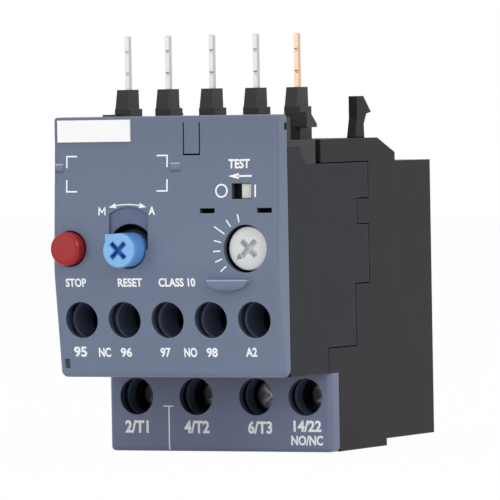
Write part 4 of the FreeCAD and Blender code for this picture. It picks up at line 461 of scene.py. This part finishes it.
def moulding(name, shade, painted_edge_colour=None, rough=0.42, drift=0.06, rounding=0.22,
             specular=0.4, painted_edges=0.35, dust=0.0, upward_shade=0.0, shapes=()):
    """Injection-moulded plastic: eroded grain, faint flow clouds and rounded edges with painted
    light and shade along them.

    Rounding is the edges' radius in millimetres. Drift and dust say how much the colour clouds
    and how much dust lies. The edge amount says how strongly the edge colour is laid along the
    edges: a painted highlight where that colour is lighter, painted shade where it is darker. The
    upward amount is painted shade that darkens the front cover towards its top. Each of shapes
    takes the finish and gives a mask and the colour that the plastic has there; these colours are
    painted shade, painted highlight and painted light.
    """
    f = Finish(name)
    clouds = f.noise(130, 3, 0.55, 0.6)
    flow = f.noise(60, 2, 0.5, 1.2, stretch=(1, 1, 0.22))
    grains = f.noise(5200, 3, 0.6)
    pits = f.cells(3600)
    body = f.mix(clouds, scaled(shade, 1 - drift), scaled(shade, 1 + drift))
    body = f.mix((flow - 0.5) * (drift * 6), body, scaled(shade, 1 + 2 * drift))
    # Painted shade: the front cover darker towards its top.
    if upward_shade:
        rise = (f.axis("Z") - COVER[0].z) / (COVER[1].z - COVER[0].z)
        body = f.mix(rise.clipped() ** 1.5, body, scaled(shade, 1 - upward_shade))
    # Painted highlight or painted shade along the edges: the edge colour, laid in patches.
    rim = f.edges(rounding * MM, 5.0)
    edge_patches = f.noise(420, 3, 0.6)
    painted_edge_mask = rim * (edge_patches * 0.8 + 0.3) * painted_edges
    body = f.mix(painted_edge_mask, body, painted_edge_colour or scaled(shade, 1.6))
    for shape in shapes:
        mask, tone = shape(f)
        body = f.mix(mask, body, tone)
    if dust:
        settled = f.ramp(f.noise(900, 4, 0.65), (0.52, 0.0), (0.74, 1.0))
        body = f.mix(settled * dust, body, scaled(shade, 2.2))
    roughness = (clouds - 0.5) * 0.08 + (grains - 0.5) * 0.12 - painted_edge_mask * 0.25 + rough
    height = grains * 0.7 + pits * 0.3
    normal = f.bump(height, 0.000012, 0.9, f.rounded(rounding * MM))
    return f.surface(base_color=body, roughness=roughness, normal=normal,
                     specular_ior_level=specular)


def glossy_button(name, shade, side, face_y):
    """Polished moulding: painted shade on its side, a painted highlight along its edges and light
    handling scratches.
    """
    f = Finish(name)
    clouds = f.noise(260, 3, 0.5, 0.4)
    body = f.mix(clouds, scaled(shade, 0.94), scaled(shade, 1.07))
    # Painted shade: the side darker than the face.
    body = f.mix(((f.axis("Y") - face_y) / MM - 0.5).clipped(), body, side)
    scratches = f.noise(2600, 3, 0.6, 0.0, stretch=(1, 1, 0.12))
    fine = f.ramp(scratches, (0.56, 0.0), (0.62, 1.0))
    # Painted highlight along the edges.
    rim = f.edges(0.00025, 5.0)
    body = f.mix(rim * 0.22, body, scaled(shade, 1.9))
    roughness = fine * 0.06 + clouds * 0.06 + 0.2
    normal = f.bump(f.noise(3400, 2, 0.5), 0.000006, 0.5, f.rounded(0.00025))
    return f.surface(base_color=body, roughness=roughness, normal=normal,
                     specular_ior_level=0.3, coat_weight=0.2, coat_roughness=0.06)


def recessed_moulding(name, box, shade, side, deep, rim_deep, depth, reach):
    """Turned knob moulding with painted shade in its recesses, on its side and round its cross,
    and a painted highlight along its edges.

    Box is the knob's. Its recesses get painted shade, the deep colour in the cross and the outer
    recess colour past it, from about this depth on and as far out as reach, both in millimetres.
    """
    f = Finish(name)
    middle = middle_of(box)
    east = f.axis("X") - middle[0]
    north = f.axis("Z") - middle[1]
    apart = east ** 2 + north ** 2
    behind_face = (f.axis("Y") - box[0].y) / MM
    # Painted shade in the recesses.
    sunk_shade = f.ramp(behind_face / depth, (0.1, 0.0), (0.6, 1.0)) * (apart < (reach * MM) ** 2)
    past_cross = apart > (CROSS_REACH * MM) ** 2
    half_arm = (CROSS_ARM * MM) ** 2
    # Painted shade round the cross's arms, as on a chamfer.
    arms = ((east + north) ** 2 < half_arm) + ((east - north) ** 2 < half_arm)
    arm_shade = arms.clipped() * (1 - past_cross)
    clouds = f.noise(300, 3, 0.5, 0.5)
    body = f.mix(clouds, scaled(shade, 0.95), scaled(shade, 1.05))
    # The recesses' painted shade colour: the deep colour in the cross, the outer one past it.
    inner = f.mix(f.noise(900, 2), deep, scaled(deep, 1.15))
    inner = f.mix(past_cross, inner, rim_deep)
    # Painted shade on the side.
    body = f.mix((behind_face - 0.4).clipped(), body, side)
    body = f.mix(arm_shade * 0.8, body, scaled(side, 0.8))
    body = f.mix(sunk_shade, body, inner)
    # Painted highlight along the edges, laid in patches.
    rim = f.edges(0.00018, 4.0)
    edge_patches = f.noise(700, 3, 0.6)
    painted_edge_mask = rim * (edge_patches * 0.7 + 0.2) * 0.5
    body = f.mix(painted_edge_mask, body, scaled(shade, 1.35))
    roughness = (clouds - 0.5) * 0.1 - painted_edge_mask * 0.15 + sunk_shade * 0.2 + 0.34
    normal = f.bump(f.noise(4600, 3, 0.6), 0.000009, 0.7, f.rounded(0.0002))
    return f.surface(base_color=body, roughness=roughness, normal=normal,
                     specular_ior_level=0.45)


def blade_metal(name, shade, rough=0.3):
    """Rolled and tinned strip: drawn lines along its length, cloudy plating and dull stains."""
    f = Finish(name)
    stain = 0.12
    lines = f.noise(9000, 4, 0.65, 0, stretch=(1, 1, 0.03))
    clouds = f.noise(420, 4, 0.6, 0.8)
    spots = f.ramp(f.noise(1500, 3, 0.6), (0.6, 0.0), (0.78, 1.0))
    body = f.mix(lines * 0.6, scaled(shade, 0.86), scaled(shade, 1.06))
    body = f.mix(clouds * stain, body, scaled(shade, 0.62))
    body = f.mix(spots * stain, body, scaled(shade, 0.5))
    # Painted highlight along the edges.
    rim = f.edges(0.00012, 4.0)
    body = f.mix(rim * 0.5, body, scaled(shade, 1.2))
    roughness = (lines - 0.5) * 0.22 + clouds * 0.14 + spots * 0.12 + rough
    normal = f.bump(lines, 0.000006, 0.8, f.rounded(0.0001))
    return f.surface(base_color=body, metallic=1.0, roughness=roughness, normal=normal,
                     anisotropic=0.35)


def plated_steel(name, shade, recesses=()):
    """Zinc-plated fasteners: spangled plating, a dull film and edges painted white as a painted
    highlight.

    Each of recesses is the axes of screw heads and the depth of their front, behind which the
    cross recess is painted white as a painted glint.
    """
    f = Finish(name)
    spangle = f.cells(1400)
    film = f.noise(700, 4, 0.6, 0.6)
    rings = f.noise(5200, 2, 0.5)
    body = f.mix(film, scaled(shade, 0.7), shade)
    body = f.mix(spangle * 0.25, body, scaled(shade, 1.12))
    # Painted highlight: the edges painted white.
    rim = f.edges(0.0003, 8.0)
    body = f.mix(rim, body, (1.0, 1.0, 1.0))
    metal = 1.0
    # Painted glint: the cross recess painted white and mostly not metallic.
    if recesses:
        near, far = (place * MM for place in HEAD_GLINT)
        painted_glint = sum(round_axes(f, axes, HEAD_RADIUS * MM) * within(f, "Y", front + near,
                                                                    front + far)
                     for axes, front in recesses)
        body = f.mix(painted_glint, body, (1.0, 1.0, 1.0))
        metal = 1 - painted_glint * 0.9
    roughness = film * 0.18 + spangle * 0.06 - rim * 0.1 + 0.24
    normal = f.bump(rings * 0.6 + spangle * 0.4, 0.000008, 0.7, f.rounded(0.0004))
    return f.surface(base_color=body, metallic=metal, roughness=roughness, normal=normal)


def strip_metal(name, shade, rough=0.38, heat=0.0):
    """Rolled strip or drawn wire, with straw and blue heat tints where it runs hot."""
    f = Finish(name)
    lines = f.noise(8000, 3, 0.6, 0, stretch=(1, 1, 0.05))
    clouds = f.noise(500, 3, 0.6, 0.7)
    body = f.mix(lines, scaled(shade, 0.84), scaled(shade, 1.08))
    if heat:
        glow = f.ramp(clouds, (0.3, tint(176, 150, 104)), (0.5, tint(140, 108, 120)),
                      (0.7, tint(96, 116, 150)))
        body = f.mix(clouds * heat, body, glow)
    roughness = (lines - 0.5) * 0.16 + clouds * 0.14 + rough
    normal = f.bump(lines, 0.000005, 0.7, f.rounded(0.0001))
    return f.surface(base_color=body, metallic=1.0, roughness=roughness, normal=normal)


def mica_sleeve(name, shade):
    """Layered mica: pale flakes with pearly scales."""
    f = Finish(name)
    flakes = f.cells(1100)
    veins = f.noise(800, 4, 0.7, 1.4)
    body = f.mix(veins, scaled(shade, 0.78), shade)
    body = f.mix(flakes * 0.35, body, scaled(shade, 1.15))
    roughness = flakes * 0.2 + veins * 0.1 + 0.36
    normal = f.bump(flakes, 0.00002, 0.6)
    return f.surface(base_color=body, roughness=roughness, normal=normal,
                     specular_ior_level=0.5)


def paper_label(name, shade):
    """Blank write-on film: matt, with the faintest fibre and a handled edge."""
    f = Finish(name)
    fibre = f.noise(2600, 4, 0.6, 0, stretch=(0.4, 1, 1))
    clouds = f.noise(200, 2, 0.5)
    body = f.mix(clouds * 0.5, shade, scaled(shade, 0.965))
    rim = f.edges(0.0002, 4.0)
    body = f.mix(rim * 0.12, body, scaled(shade, 0.8))
    normal = f.bump(fibre, 0.000006, 0.6)
    return f.surface(base_color=body, roughness=fibre * 0.12 + 0.46, normal=normal,
                     specular_ior_level=0.35)


def printing_ink(name, shade):
    """Pad-printed ink: opaque white that lies a little uneven over the grain."""
    f = Finish(name)
    cover_grain = f.noise(4200, 3, 0.6)
    thin = f.ramp(f.noise(1500, 3, 0.6), (0.3, 0.0), (0.5, 1.0))
    body = f.mix(thin, scaled(shade, 0.95), shade)
    normal = f.bump(cover_grain, 0.000006, 0.5)
    return f.surface(base_color=body, roughness=cover_grain * 0.1 + 0.45, normal=normal,
                     specular_ior_level=0.4)


# --- modelling helpers ------------------------------------------------------------------------


def pick_only(*pieces):
    """Select these pieces and nothing else."""
    bpy.ops.object.select_all(action="DESELECT")
    for piece in pieces:
        piece.select_set(True)
    if pieces:
        bpy.context.view_layer.objects.active = pieces[0]


@contextmanager
def editing():
    """Edit mode on the active piece, with all of its mesh selected."""
    bpy.ops.object.mode_set(mode="EDIT")
    bpy.ops.mesh.select_all(action="SELECT")
    yield
    bpy.ops.object.mode_set(mode="OBJECT")


def set_in_place(piece):
    """Put the object's turn, size and place into its mesh."""
    pick_only(piece)
    bpy.ops.object.transform_apply(location=True, rotation=True, scale=True)


def apply_modifier(piece, kind, **settings):
    """Put a modifier on a piece and apply it."""
    pick_only(piece)
    modifier = piece.modifiers.new(kind.title(), kind)
    for key, value in settings.items():
        setattr(modifier, key, value)
    bpy.ops.object.modifier_apply(modifier=modifier.name)


def word(letters, left, right, low, high, bold):
    """A word as a flat mesh that fills the given space, facing the front."""
    pick_only()
    bpy.ops.object.text_add(rotation=(math.pi / 2, 0, 0))
    piece = bpy.context.object
    piece.data.body = letters
    piece.data.offset = bold
    piece.data.resolution_u = 4
    pick_only(piece)
    bpy.ops.object.convert(target="MESH")
    piece = bpy.context.object
    set_in_place(piece)
    xs = [v.co.x for v in piece.data.vertices]
    zs = [v.co.z for v in piece.data.vertices]
    wide = (right - left) / (max(xs) - min(xs))
    tall = (high - low) / (max(zs) - min(zs))
    piece.scale = (wide, 1, tall)
    piece.location = (left - min(xs) * wide, FRONT, low - min(zs) * tall)
    set_in_place(piece)
    return piece


def stripe(start, end, width, cuts=3):
    """A straight printed line between two points of the front view."""
    run = Vector(end) - Vector(start)
    middle = (Vector(start) + Vector(end)) / 2
    pick_only()
    bpy.ops.mesh.primitive_plane_add(size=1, location=(middle.x, FRONT, middle.y),
                                     rotation=(math.pi / 2, -math.atan2(run.y, run.x), 0))
    piece = bpy.context.object
    piece.scale = (run.length, width, 1)
    set_in_place(piece)
    with editing():
        bpy.ops.mesh.subdivide(number_cuts=cuts)
    return piece


def arrow_head(tip, heading, long, wide):
    """A slim triangle with its tip at a point, pointing along heading in the front view."""
    pick_only()
    bpy.ops.mesh.primitive_circle_add(vertices=3, radius=1, fill_type="NGON")
    piece = bpy.context.object
    with editing():
        bpy.ops.transform.resize(value=(wide / math.sqrt(3), long / 1.5, 1),
                                 center_override=(0, 0, 0))
        bpy.ops.transform.translate(value=(0, -long / 1.5, 0))
    piece.rotation_euler = (math.pi / 2, math.pi / 2 - heading, 0)
    piece.location = (tip[0], FRONT, tip[1])
    set_in_place(piece)
    return piece


def ring(centre, outer, inner, steps):
    """A flat ring that faces the front."""
    middle = (centre[0], FRONT, centre[1])
    pick_only()
    bpy.ops.mesh.primitive_circle_add(vertices=steps, radius=outer, location=middle,
                                      rotation=(math.pi / 2, 0, 0))
    piece = bpy.context.object
    set_in_place(piece)
    with editing():
        bpy.ops.mesh.extrude_region_move()
        bpy.ops.transform.resize(value=(inner / outer,) * 3, center_override=middle)
    return piece


def on_circle(centre, radius, angle):
    """The point of a circle in the front view at an angle."""
    return centre[0] + radius * math.cos(angle), centre[1] + radius * math.sin(angle)


def arc(centre, radius, width, start, end, steps):
    """A flat arc between two angles, spun from a short line."""
    east, north = on_circle(centre, radius, start)
    pick_only()
    bpy.ops.mesh.primitive_plane_add(size=1)
    piece = bpy.context.object
    piece.scale = (width, 0.02 * MM, 1)
    piece.rotation_euler = (math.pi / 2, -start, 0)
    piece.location = (east, FRONT, north)
    set_in_place(piece)
    bpy.ops.object.mode_set(mode="EDIT")
    bpy.ops.mesh.select_all(action="DESELECT")
    bpy.ops.object.mode_set(mode="OBJECT")
    mesh = piece.data
    seat = Vector(piece.bound_box[0]).lerp(Vector(piece.bound_box[6]), 0.5)
    ahead = Vector((-math.sin(start), 0, math.cos(start)))
    for edge in mesh.edges:
        ends = [mesh.vertices[i].co for i in edge.vertices]
        edge.select = all((co - seat).dot(ahead) > 0 for co in ends)
    bpy.ops.object.mode_set(mode="EDIT")
    bpy.ops.mesh.select_mode(type="EDGE")
    bpy.ops.mesh.spin(steps=steps, angle=end - start, center=(centre[0], FRONT, centre[1]),
                      axis=(0, 1, 0))
    bpy.ops.mesh.select_all(action="SELECT")
    bpy.ops.mesh.remove_doubles(threshold=0.000001)
    bpy.ops.mesh.normals_make_consistent(inside=False)
    bpy.ops.object.mode_set(mode="OBJECT")
    return piece


def print_on(marks, name, cover, finish, thickness):
    """Join marks into one piece and lay it on a cover as a film of ink."""
    pick_only(*marks)
    bpy.ops.object.join()
    piece = bpy.context.object
    with editing():
        bpy.ops.mesh.remove_doubles(threshold=0.000001)
    apply_modifier(piece, "SHRINKWRAP", target=NODES[cover], wrap_method="PROJECT",
                   use_project_y=True, use_positive_direction=True,
                   use_negative_direction=False)
    apply_modifier(piece, "SOLIDIFY", thickness=thickness, offset=0)
    with editing():
        bpy.ops.mesh.normals_make_consistent(inside=False)
    bpy.ops.object.shade_flat()
    piece.name = name
    piece.data.name = name
    piece.data.materials.clear()
    piece.data.materials.append(finish)
    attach(piece, "housing")


def mm(*values):
    """Millimetres as metres."""
    return tuple(value * MM for value in values)


# --- pieces -----------------------------------------------------------------------------------


class Printing:
    """What the operators that print share. Each draws its marks and names their cover."""
    piece = ""
    cover = "front_cover"

    def draw_marks(self, marks):
        """The pieces to print, before the part, from the settings for the markings."""
        raise NotImplementedError

    def execute(self, context):
        scene = context.scene
        ink = bpy.data.materials.get("printing_ink") or printing_ink(
            "printing_ink", tuple(scene.relay_colours.print_white))
        print_on(self.draw_marks(scene.relay_markings), self.piece, self.cover, ink,
                 scene.relay_markings.ink)
        return {"FINISHED"}


class RELAY_OT_cover_words(Printing, bpy.types.Operator):
    """Print the words and terminal numbers on the front cover"""
    bl_idname = "relay.cover_words"
    bl_label = "Cover words"
    piece = "cover_words"

    # Each word, and its left and right ends, foot and top in millimetres.
    WORDS = (
        ("STOP", -19.95, -15.8, 30.8, 32.35),
        ("RESET", -9.4, -4.5, 30.8, 32.35),
        ("CLASS 10", -1.2, 6.15, 30.8, 32.35),
        ("TEST", 12.86, 17.1, 51.85, 53.55),
        ("A", -3.05, -1.75, 43.7, 45.2),
        ("95", -19.3, -16.7, 18.1, 20.0),
        ("NC", -14.3, -11.85, 18.1, 19.8),
        ("96", -9.85, -7.6, 18.1, 19.8),
        ("97", -1.85, 0.2, 18.1, 19.8),
        ("NO", 2.9, 5.5, 18.1, 19.8),
        ("98", 7.4, 9.6, 18.1, 19.8),
        ("A2", 15.2, 17.45, 18.2, 19.85),
    )
    # The strokes of the letter M, which stands for the manual reset.
    MANUAL = (
        ((-13.05, 43.7), (-13.05, 45.2)),
        ((-11.85, 43.7), (-11.85, 45.2)),
        ((-13.05, 45.15), (-12.45, 44.1)),
        ((-12.45, 44.1), (-11.85, 45.15)),
    )

    def draw_marks(self, marks):
        words = [word(text, *mm(*space), marks.boldness) for text, *space in self.WORDS]
        return words + [stripe(mm(*start), mm(*end), marks.line * 0.9)
                        for start, end in self.MANUAL]


class RELAY_OT_terminal_words(Printing, bpy.types.Operator):
    """Print the terminal numbers and the dividing line on the terminal cover"""
    bl_idname = "relay.terminal_words"
    bl_label = "Terminal words"
    piece = "terminal_words"
    cover = "terminal_cover"

    WORDS = (
        ("2/T1", -19.3, -14.5, 3.3, 5.65),
        ("4/T2", -7.2, -2.1, 3.3, 5.65),
        ("6/T3", 5.75, 10.6, 3.3, 5.65),
        ("14/22", 14.9, 20.5, 3.7, 5.8),
        ("NO/NC", 14.4, 20.8, 1.25, 3.05),
    )
    # The dividing line's place and top, the ends of the bar on it, and its gap to the foot.
    LINE_X, LINE_TOP, BAR, FOOT_GAP = -10.3, 8.25, (-11.45, -9.4), 0.35

    def draw_marks(self, marks):
        words = [word(text, *mm(*space), marks.boldness * 1.15) for text, *space in self.WORDS]
        left, right = self.BAR
        foot = TERMINALS[0].z + self.FOOT_GAP * MM
        return words + [
            stripe(mm(left, self.LINE_TOP), mm(right, self.LINE_TOP), marks.line * 0.8),
            stripe((self.LINE_X * MM, foot), mm(self.LINE_X, self.LINE_TOP), marks.line * 0.9,
                   cuts=30),
        ]


class RELAY_OT_label_frame(Printing, bpy.types.Operator):
    """Print the four corners of the label frame"""
    bl_idname = "relay.label_frame"
    bl_label = "Label frame"
    piece = "label_frame"

    LOWER_LEFT = (-19.63, 47.98)

    def draw_marks(self, marks):
        left, low = mm(*self.LOWER_LEFT)
        right, high = left + marks.frame_width, low + marks.frame_height
        half = marks.line / 2
        lines = []
        for x, towards in ((left, 1), (right, -1)):
            for z, upwards in ((low, 1), (high, -1)):
                lines.append(stripe((x - half * towards, z),
                                    (x + marks.corner_arm * towards, z), marks.line))
                lines.append(stripe((x, z + half * upwards),
                                    (x, z + marks.corner_arm * upwards), marks.line))
        return lines


class RELAY_OT_test_marks(Printing, bpy.types.Operator):
    """Print the test slider's arrow, ring and bar"""
    bl_idname = "relay.test_marks"
    bl_label = "Test marks"
    piece = "test_marks"

    # The arrow's tip, the start and end of its shaft and its height; then its head's size.
    TIP, SHAFT, ARROW_Z, HEAD = 12.85, (14.5, 17.5), 50.5, (2.1, 1.1)
    OFF_CENTRE = (11.5, 47.9)
    # The bar's place, foot and top.
    ON_BAR = (18.2, 46.75, 48.95)

    def draw_marks(self, marks):
        start, end = self.SHAFT
        bar, foot, top = self.ON_BAR
        return [
            stripe(mm(start, self.ARROW_Z), mm(end, self.ARROW_Z), marks.line * 1.2),
            arrow_head(mm(self.TIP, self.ARROW_Z), math.pi, *mm(*self.HEAD)),
            ring(mm(*self.OFF_CENTRE), marks.off_ring, marks.off_ring - marks.line * 1.1,
                 marks.ring_steps),
            stripe(mm(bar, foot), mm(bar, top), marks.line * 1.1),
        ]


class RELAY_OT_reset_arrow(Printing, bpy.types.Operator):
    """Print the two-headed arrow over the reset selector"""
    bl_idname = "relay.reset_arrow"
    bl_label = "Reset arrow"
    piece = "reset_arrow"

    # Half the arrow's reach, its rise, its top, how far it lies left of the selector, how far
    # the line stops short of the tips, and the heads' size.
    REACH, RISE, TOP, LEFT, SHORT, HEAD = 3.8, 0.5, 45.6, 0.3, 1.25, (1.45, 0.95)

    def draw_marks(self, marks):
        reach, rise = mm(self.REACH, self.RISE)
        radius = (reach * reach + rise * rise) / (2 * rise)
        centre = (middle_of(KNOB)[0] - self.LEFT * MM, self.TOP * MM - radius)
        half_turn = math.asin(reach / radius)
        start, end = math.pi / 2 - half_turn, math.pi / 2 + half_turn
        short = self.SHORT * MM / radius
        lines = [arc(centre, radius, marks.fine_line * 0.85, start + short, end - short, 24)]
        for angle, turn in ((start, -1), (end, 1)):
            heading = angle + turn * (math.pi / 2 - short * 0.6)
            lines.append(arrow_head(on_circle(centre, radius, angle), heading, *mm(*self.HEAD)))
        return lines


class RELAY_OT_dial_scale(Printing, bpy.types.Operator):
    """Print the scale lines round the setting dial"""
    bl_idname = "relay.dial_scale"
    bl_label = "Dial scale"
    piece = "dial_scale"

    # The lines' angles in degrees, and which of them is long.
    ANGLES = (104, 126, 147, 166.5, 184.5, 202, 220)
    LONG = 147

    def draw_marks(self, marks):
        centre = middle_of(DIAL)
        lines = []
        for angle in self.ANGLES:
            far = marks.scale_long if angle == self.LONG else marks.scale_outer
            lines.append(stripe(on_circle(centre, marks.scale_inner, math.radians(angle)),
                                on_circle(centre, far, math.radians(angle)), marks.fine_line))
        return lines


class RELAY_OT_finishes(bpy.types.Operator):
    """Give every moulding and metal part its finish"""
    bl_idname = "relay.finishes"
    bl_label = "Finishes"

    def cover_coats(self, look, main, hole):
        """Finishes of the pieces in front, from the main screws' axes and their hole."""
        dial = look["dial_grey"]
        return {
            # The front cover: a painted highlight along its edges, painted shade darkening it
            # upwards, painted shade in its holes, windows and shallow floors, and the lug's and
            # pads' painted highlight and shade.
            "front_cover": moulding("cover_moulding", look["cover"], look["cover_edge"],
                                    rough=0.4, drift=0.035, painted_edges=0.42, rounding=0.28, upward_shade=0.2,
                                    shapes=[cover_recess(look["lip"], look["deep"]),
                                            cover_floors(look["floor_tint"]),
                                            cover_relief(look["cover"], look["cover_edge"],
                                                         look["lip"])]),
            "terminal_cover": moulding("terminal_moulding", look["terminals"], drift=0.04,
                                       painted_edges=0.3, rounding=0.25,
                                       shapes=[holes(main, hole, TERMINALS[0].y,
                                                     look["lip"], look["deep"])]),
            "pin_carrier": moulding("carrier_moulding", look["carrier"], rough=0.5, drift=0.05,
                                    specular=0.3, rounding=0.2),
            "marking_label": paper_label("blank_label", look["label"]),
            "stop_button": glossy_button("stop_moulding", look["stop_red"], look["stop_side"],
                                         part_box("stop_button")[0].y),
            "reset_selector": recessed_moulding("selector_moulding", KNOB, look["knob_blue"],
                                                look["knob_side"], look["knob_deep"],
                                                look["knob_deep"], 1.2, 2.2),
            # The dial's side, cross recess and outer recess colours, at 0.84, 0.92 and 0.4 of its
            # grey, are painted shade.
            "setting_dial": recessed_moulding("dial_moulding", DIAL, dial, scaled(dial, 0.84),
                                              scaled(dial, 0.92), scaled(dial, 0.4), 0.7, 3.4),
            # Painted shade on the test slider behind its handle's front.
            "test_slider": moulding("slider_moulding", look["slider_grey"], rough=0.36,
                                    drift=0.03, rounding=0.3, painted_edges=0.2,
                                    shapes=[behind(SLIDER[0].y + 0.5 * MM,
                                                   look["slot_dark"])]),
            "aux_pin_14_22": blade_metal("copper_blade", look["copper"], rough=0.28),
        }

    def execute(self, context):
        shades = context.scene.relay_colours
        look = {key: tuple(getattr(shades, key)) for key in RelayColours.__annotations__}
        sizes = context.scene.relay_details
        aux, main = screw_axes("aux"), screw_axes("main")
        aux_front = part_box("aux_terminal_screws")[0].y
        main_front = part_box("main_terminal_screws")[0].y
        # The tunnels' colour is partly painted light.
        ways = [tunnels(aux, sizes.tunnel, aux_front, look["tunnel"]),
                tunnels(main, sizes.tunnel, main_front, look["tunnel"])]
        # The housings' edges and seams get painted shade: their colour at 0.3, laid along every
        # edge at full strength.
        front_shell, rear_shell = [
            moulding(name, look[name], scaled(look[name], 0.3), rough=0.46, drift=0.05,
                     specular=0.12, rounding=0.42, painted_edges=1.0, dust=0.04, shapes=ways)
            for name in ("front_shell", "rear_shell")]
        coats = self.cover_coats(look, main, sizes.main_hole)
        coats["front_housing"] = coats["reset_plunger"] = front_shell
        coats["rear_housing"] = coats["retaining_hooks"] = rear_shell
        # Any other piece gets the first finish here that has a word of its name.
        by_word = (
            # The screws' zinc at 0.45 is painted shade: a darker copy of the clamps' zinc for
            # heads deep in their tunnels.
            (plated_steel("driven_screw", scaled(look["zinc"], 0.45), [
                (aux, aux_front),
                (main[:2] + main[3:], main_front + sizes.screw_lift),
                (main[2:3], main_front)]), ("screws",)),
            (plated_steel("zinc_plating", look["zinc"]), ("clamp",)),
            (blade_metal("tinned_blade", look["tin"]), ("pin_", "bar", "post", "bridge")),
            (strip_metal("spring_wire", look["spring"]), ("spring", "axle")),
            (strip_metal("rolled_bimetal", look["bimetal"], heat=0.3),
             ("bimetal", "compensation_strip")),
            (mica_sleeve("layered_mica", look["mica"]), ("sleeve",)),
            (strip_metal("heater_ribbon", look["heater"], rough=0.45, heat=0.55), ("winding",)),
            (moulding("pale_moulding", look["slider_grey"], rough=0.36, drift=0.03,
                      rounding=0.12, painted_edges=0.2),
             ("setting_cam", "differential_lever", "trip_lever")),
            (moulding("inner_moulding", look["natural"], rough=0.36, drift=0.08), ("",)),
        )
        for name, piece in NODES.items():
            coat = coats.get(name) or next(finish for finish, words in by_word
                                           if any(part in name for part in words))
            if not piece.material_slots:
                piece.data.materials.append(coat)
            for holder in piece.material_slots:
                holder.material = coat
        return {"FINISHED"}


# --- stage ------------------------------------------------------------------------------------


def soft_light(name, place, target, side, watts):
    """A square lamp that faces the target."""
    bpy.ops.object.light_add(type="AREA", location=place)
    lamp = bpy.context.object
    lamp.name = name
    lamp.data.shape = "RECTANGLE"
    lamp.data.size = lamp.data.size_y = side
    lamp.data.energy = watts
    lamp.rotation_euler = (target - Vector(place)).to_track_quat("-Z", "Y").to_euler()


def seen_directly(paint):
    """1 for rays that show the background itself, straight or through gloss and glass."""
    def ray(kind):
        return paint.add("ShaderNodeLightPath", output=kind)
    return (ray("Is Camera Ray") + ray("Is Glossy Ray") + ray("Is Transmission Ray")).clipped()


def lay_floor(side):
    """A square floor under the part: white where it is seen, with the part's soft shadow."""
    pick_only()
    bpy.ops.mesh.primitive_plane_add(size=side, location=(0, 0, CAD_BOX[0].z))
    floor = bpy.context.object
    floor.name = "floor"
    set_in_place(floor)
    paint = Finish("pale_floor")
    shadow = paint.add("ShaderNodeBsdfDiffuse", None, {"Color": (0.9, 0.9, 0.9, 1)})
    glow = paint.add("ShaderNodeEmission", None, {"Color": (1, 1, 1, 1), "Strength": 1.0})
    floor.data.materials.append(paint.closed(paint.add(
        "ShaderNodeMixShader", None,
        {0: seen_directly(paint) * FLOOR_GLOW, 1: shadow, 2: glow})))


def light_room(scene, ambient):
    """A white room that lights the part by the ambient share of its brightness."""
    scene.world = bpy.data.worlds.new("room")
    sky = Finish("room", scene.world)
    strength = seen_directly(sky) * (1 - ambient) + ambient
    sky.closed(sky.add("ShaderNodeBackground", None, {"Color": (1, 1, 1, 1),
                                                      "Strength": strength}),
               "ShaderNodeOutputWorld")


def set_camera(scene, lens):
    """A long lens at the part's front, a little to the right."""
    turn, rise, roll = map(math.radians, CAMERA_ANGLES)
    back = Vector((math.sin(turn) * math.cos(rise), -math.cos(turn) * math.cos(rise),
                   math.sin(rise)))
    level = Vector((math.cos(turn), math.sin(turn), 0))
    upright = back.cross(level)
    right = level * math.cos(roll) + upright * math.sin(roll)
    up = upright * math.cos(roll) - level * math.sin(roll)
    bpy.ops.object.camera_add()
    camera = bpy.context.object
    camera.name = "catalogue_camera"
    camera.data.lens = lens
    camera.data.sensor_width = 36
    camera.data.clip_start, camera.data.clip_end = 0.1, 10
    camera.matrix_world = Matrix.Translation(CAMERA_PLACE) @ Matrix(
        (right, up, back)).transposed().to_4x4()
    scene.camera = camera


class RELAY_OT_stage(bpy.types.Operator):
    """Set the floor, the soft lights and the camera"""
    bl_idname = "relay.stage"
    bl_label = "Stage"

    def execute(self, context):
        studio = context.scene.relay_studio
        lay_floor(studio.floor)
        light_room(context.scene, studio.ambient)
        middle = (CAD_BOX[0] + CAD_BOX[1]) / 2
        for name, (place, side) in LAMPS.items():
            soft_light(name + "_light", place, middle, side, getattr(studio, name + "_watts"))
        set_camera(context.scene, studio.lens)
        context.scene.view_settings.view_transform = "Standard"
        return {"FINISHED"}


# --- add-on -----------------------------------------------------------------------------------

GROUPS = {
    "relay_markings": RelayMarkings,
    "relay_details": RelayDetails,
    "relay_colours": RelayColours,
    "relay_studio": RelayStudio,
}
STEPS = (
    RELAY_OT_finishes,
    RELAY_OT_cover_words,
    RELAY_OT_terminal_words,
    RELAY_OT_label_frame,
    RELAY_OT_test_marks,
    RELAY_OT_reset_arrow,
    RELAY_OT_dial_scale,
    RELAY_OT_stage,
)


class RELAY_PT_panel(bpy.types.Panel):
    """Sidebar panel with the relay's sizes, colours and building steps"""
    bl_idname = "RELAY_PT_panel"
    bl_label = "Relay"
    bl_space_type = "VIEW_3D"
    bl_region_type = "UI"
    bl_category = "Relay"

    def draw(self, context):
        for name, group in GROUPS.items():
            column = self.layout.box().column()
            for key in group.__annotations__:
                column.prop(getattr(context.scene, name), key)
        for step in STEPS:
            self.layout.operator(step.bl_idname)


def register():
    for group in GROUPS.values():
        bpy.utils.register_class(group)
    for name, group in GROUPS.items():
        setattr(bpy.types.Scene, name, PointerProperty(type=group))
    for item in (*STEPS, RELAY_PT_panel):
        bpy.utils.register_class(item)


def unregister():
    for item in reversed((*STEPS, RELAY_PT_panel)):
        bpy.utils.unregister_class(item)
    for name in GROUPS:
        delattr(bpy.types.Scene, name)
    for group in reversed(list(GROUPS.values())):
        bpy.utils.unregister_class(group)


def main():
    register()
    for step in STEPS:
        family, action = step.bl_idname.split(".")
        getattr(getattr(bpy.ops, family), action)()
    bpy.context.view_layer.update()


if __name__ == "__main__":
    main()
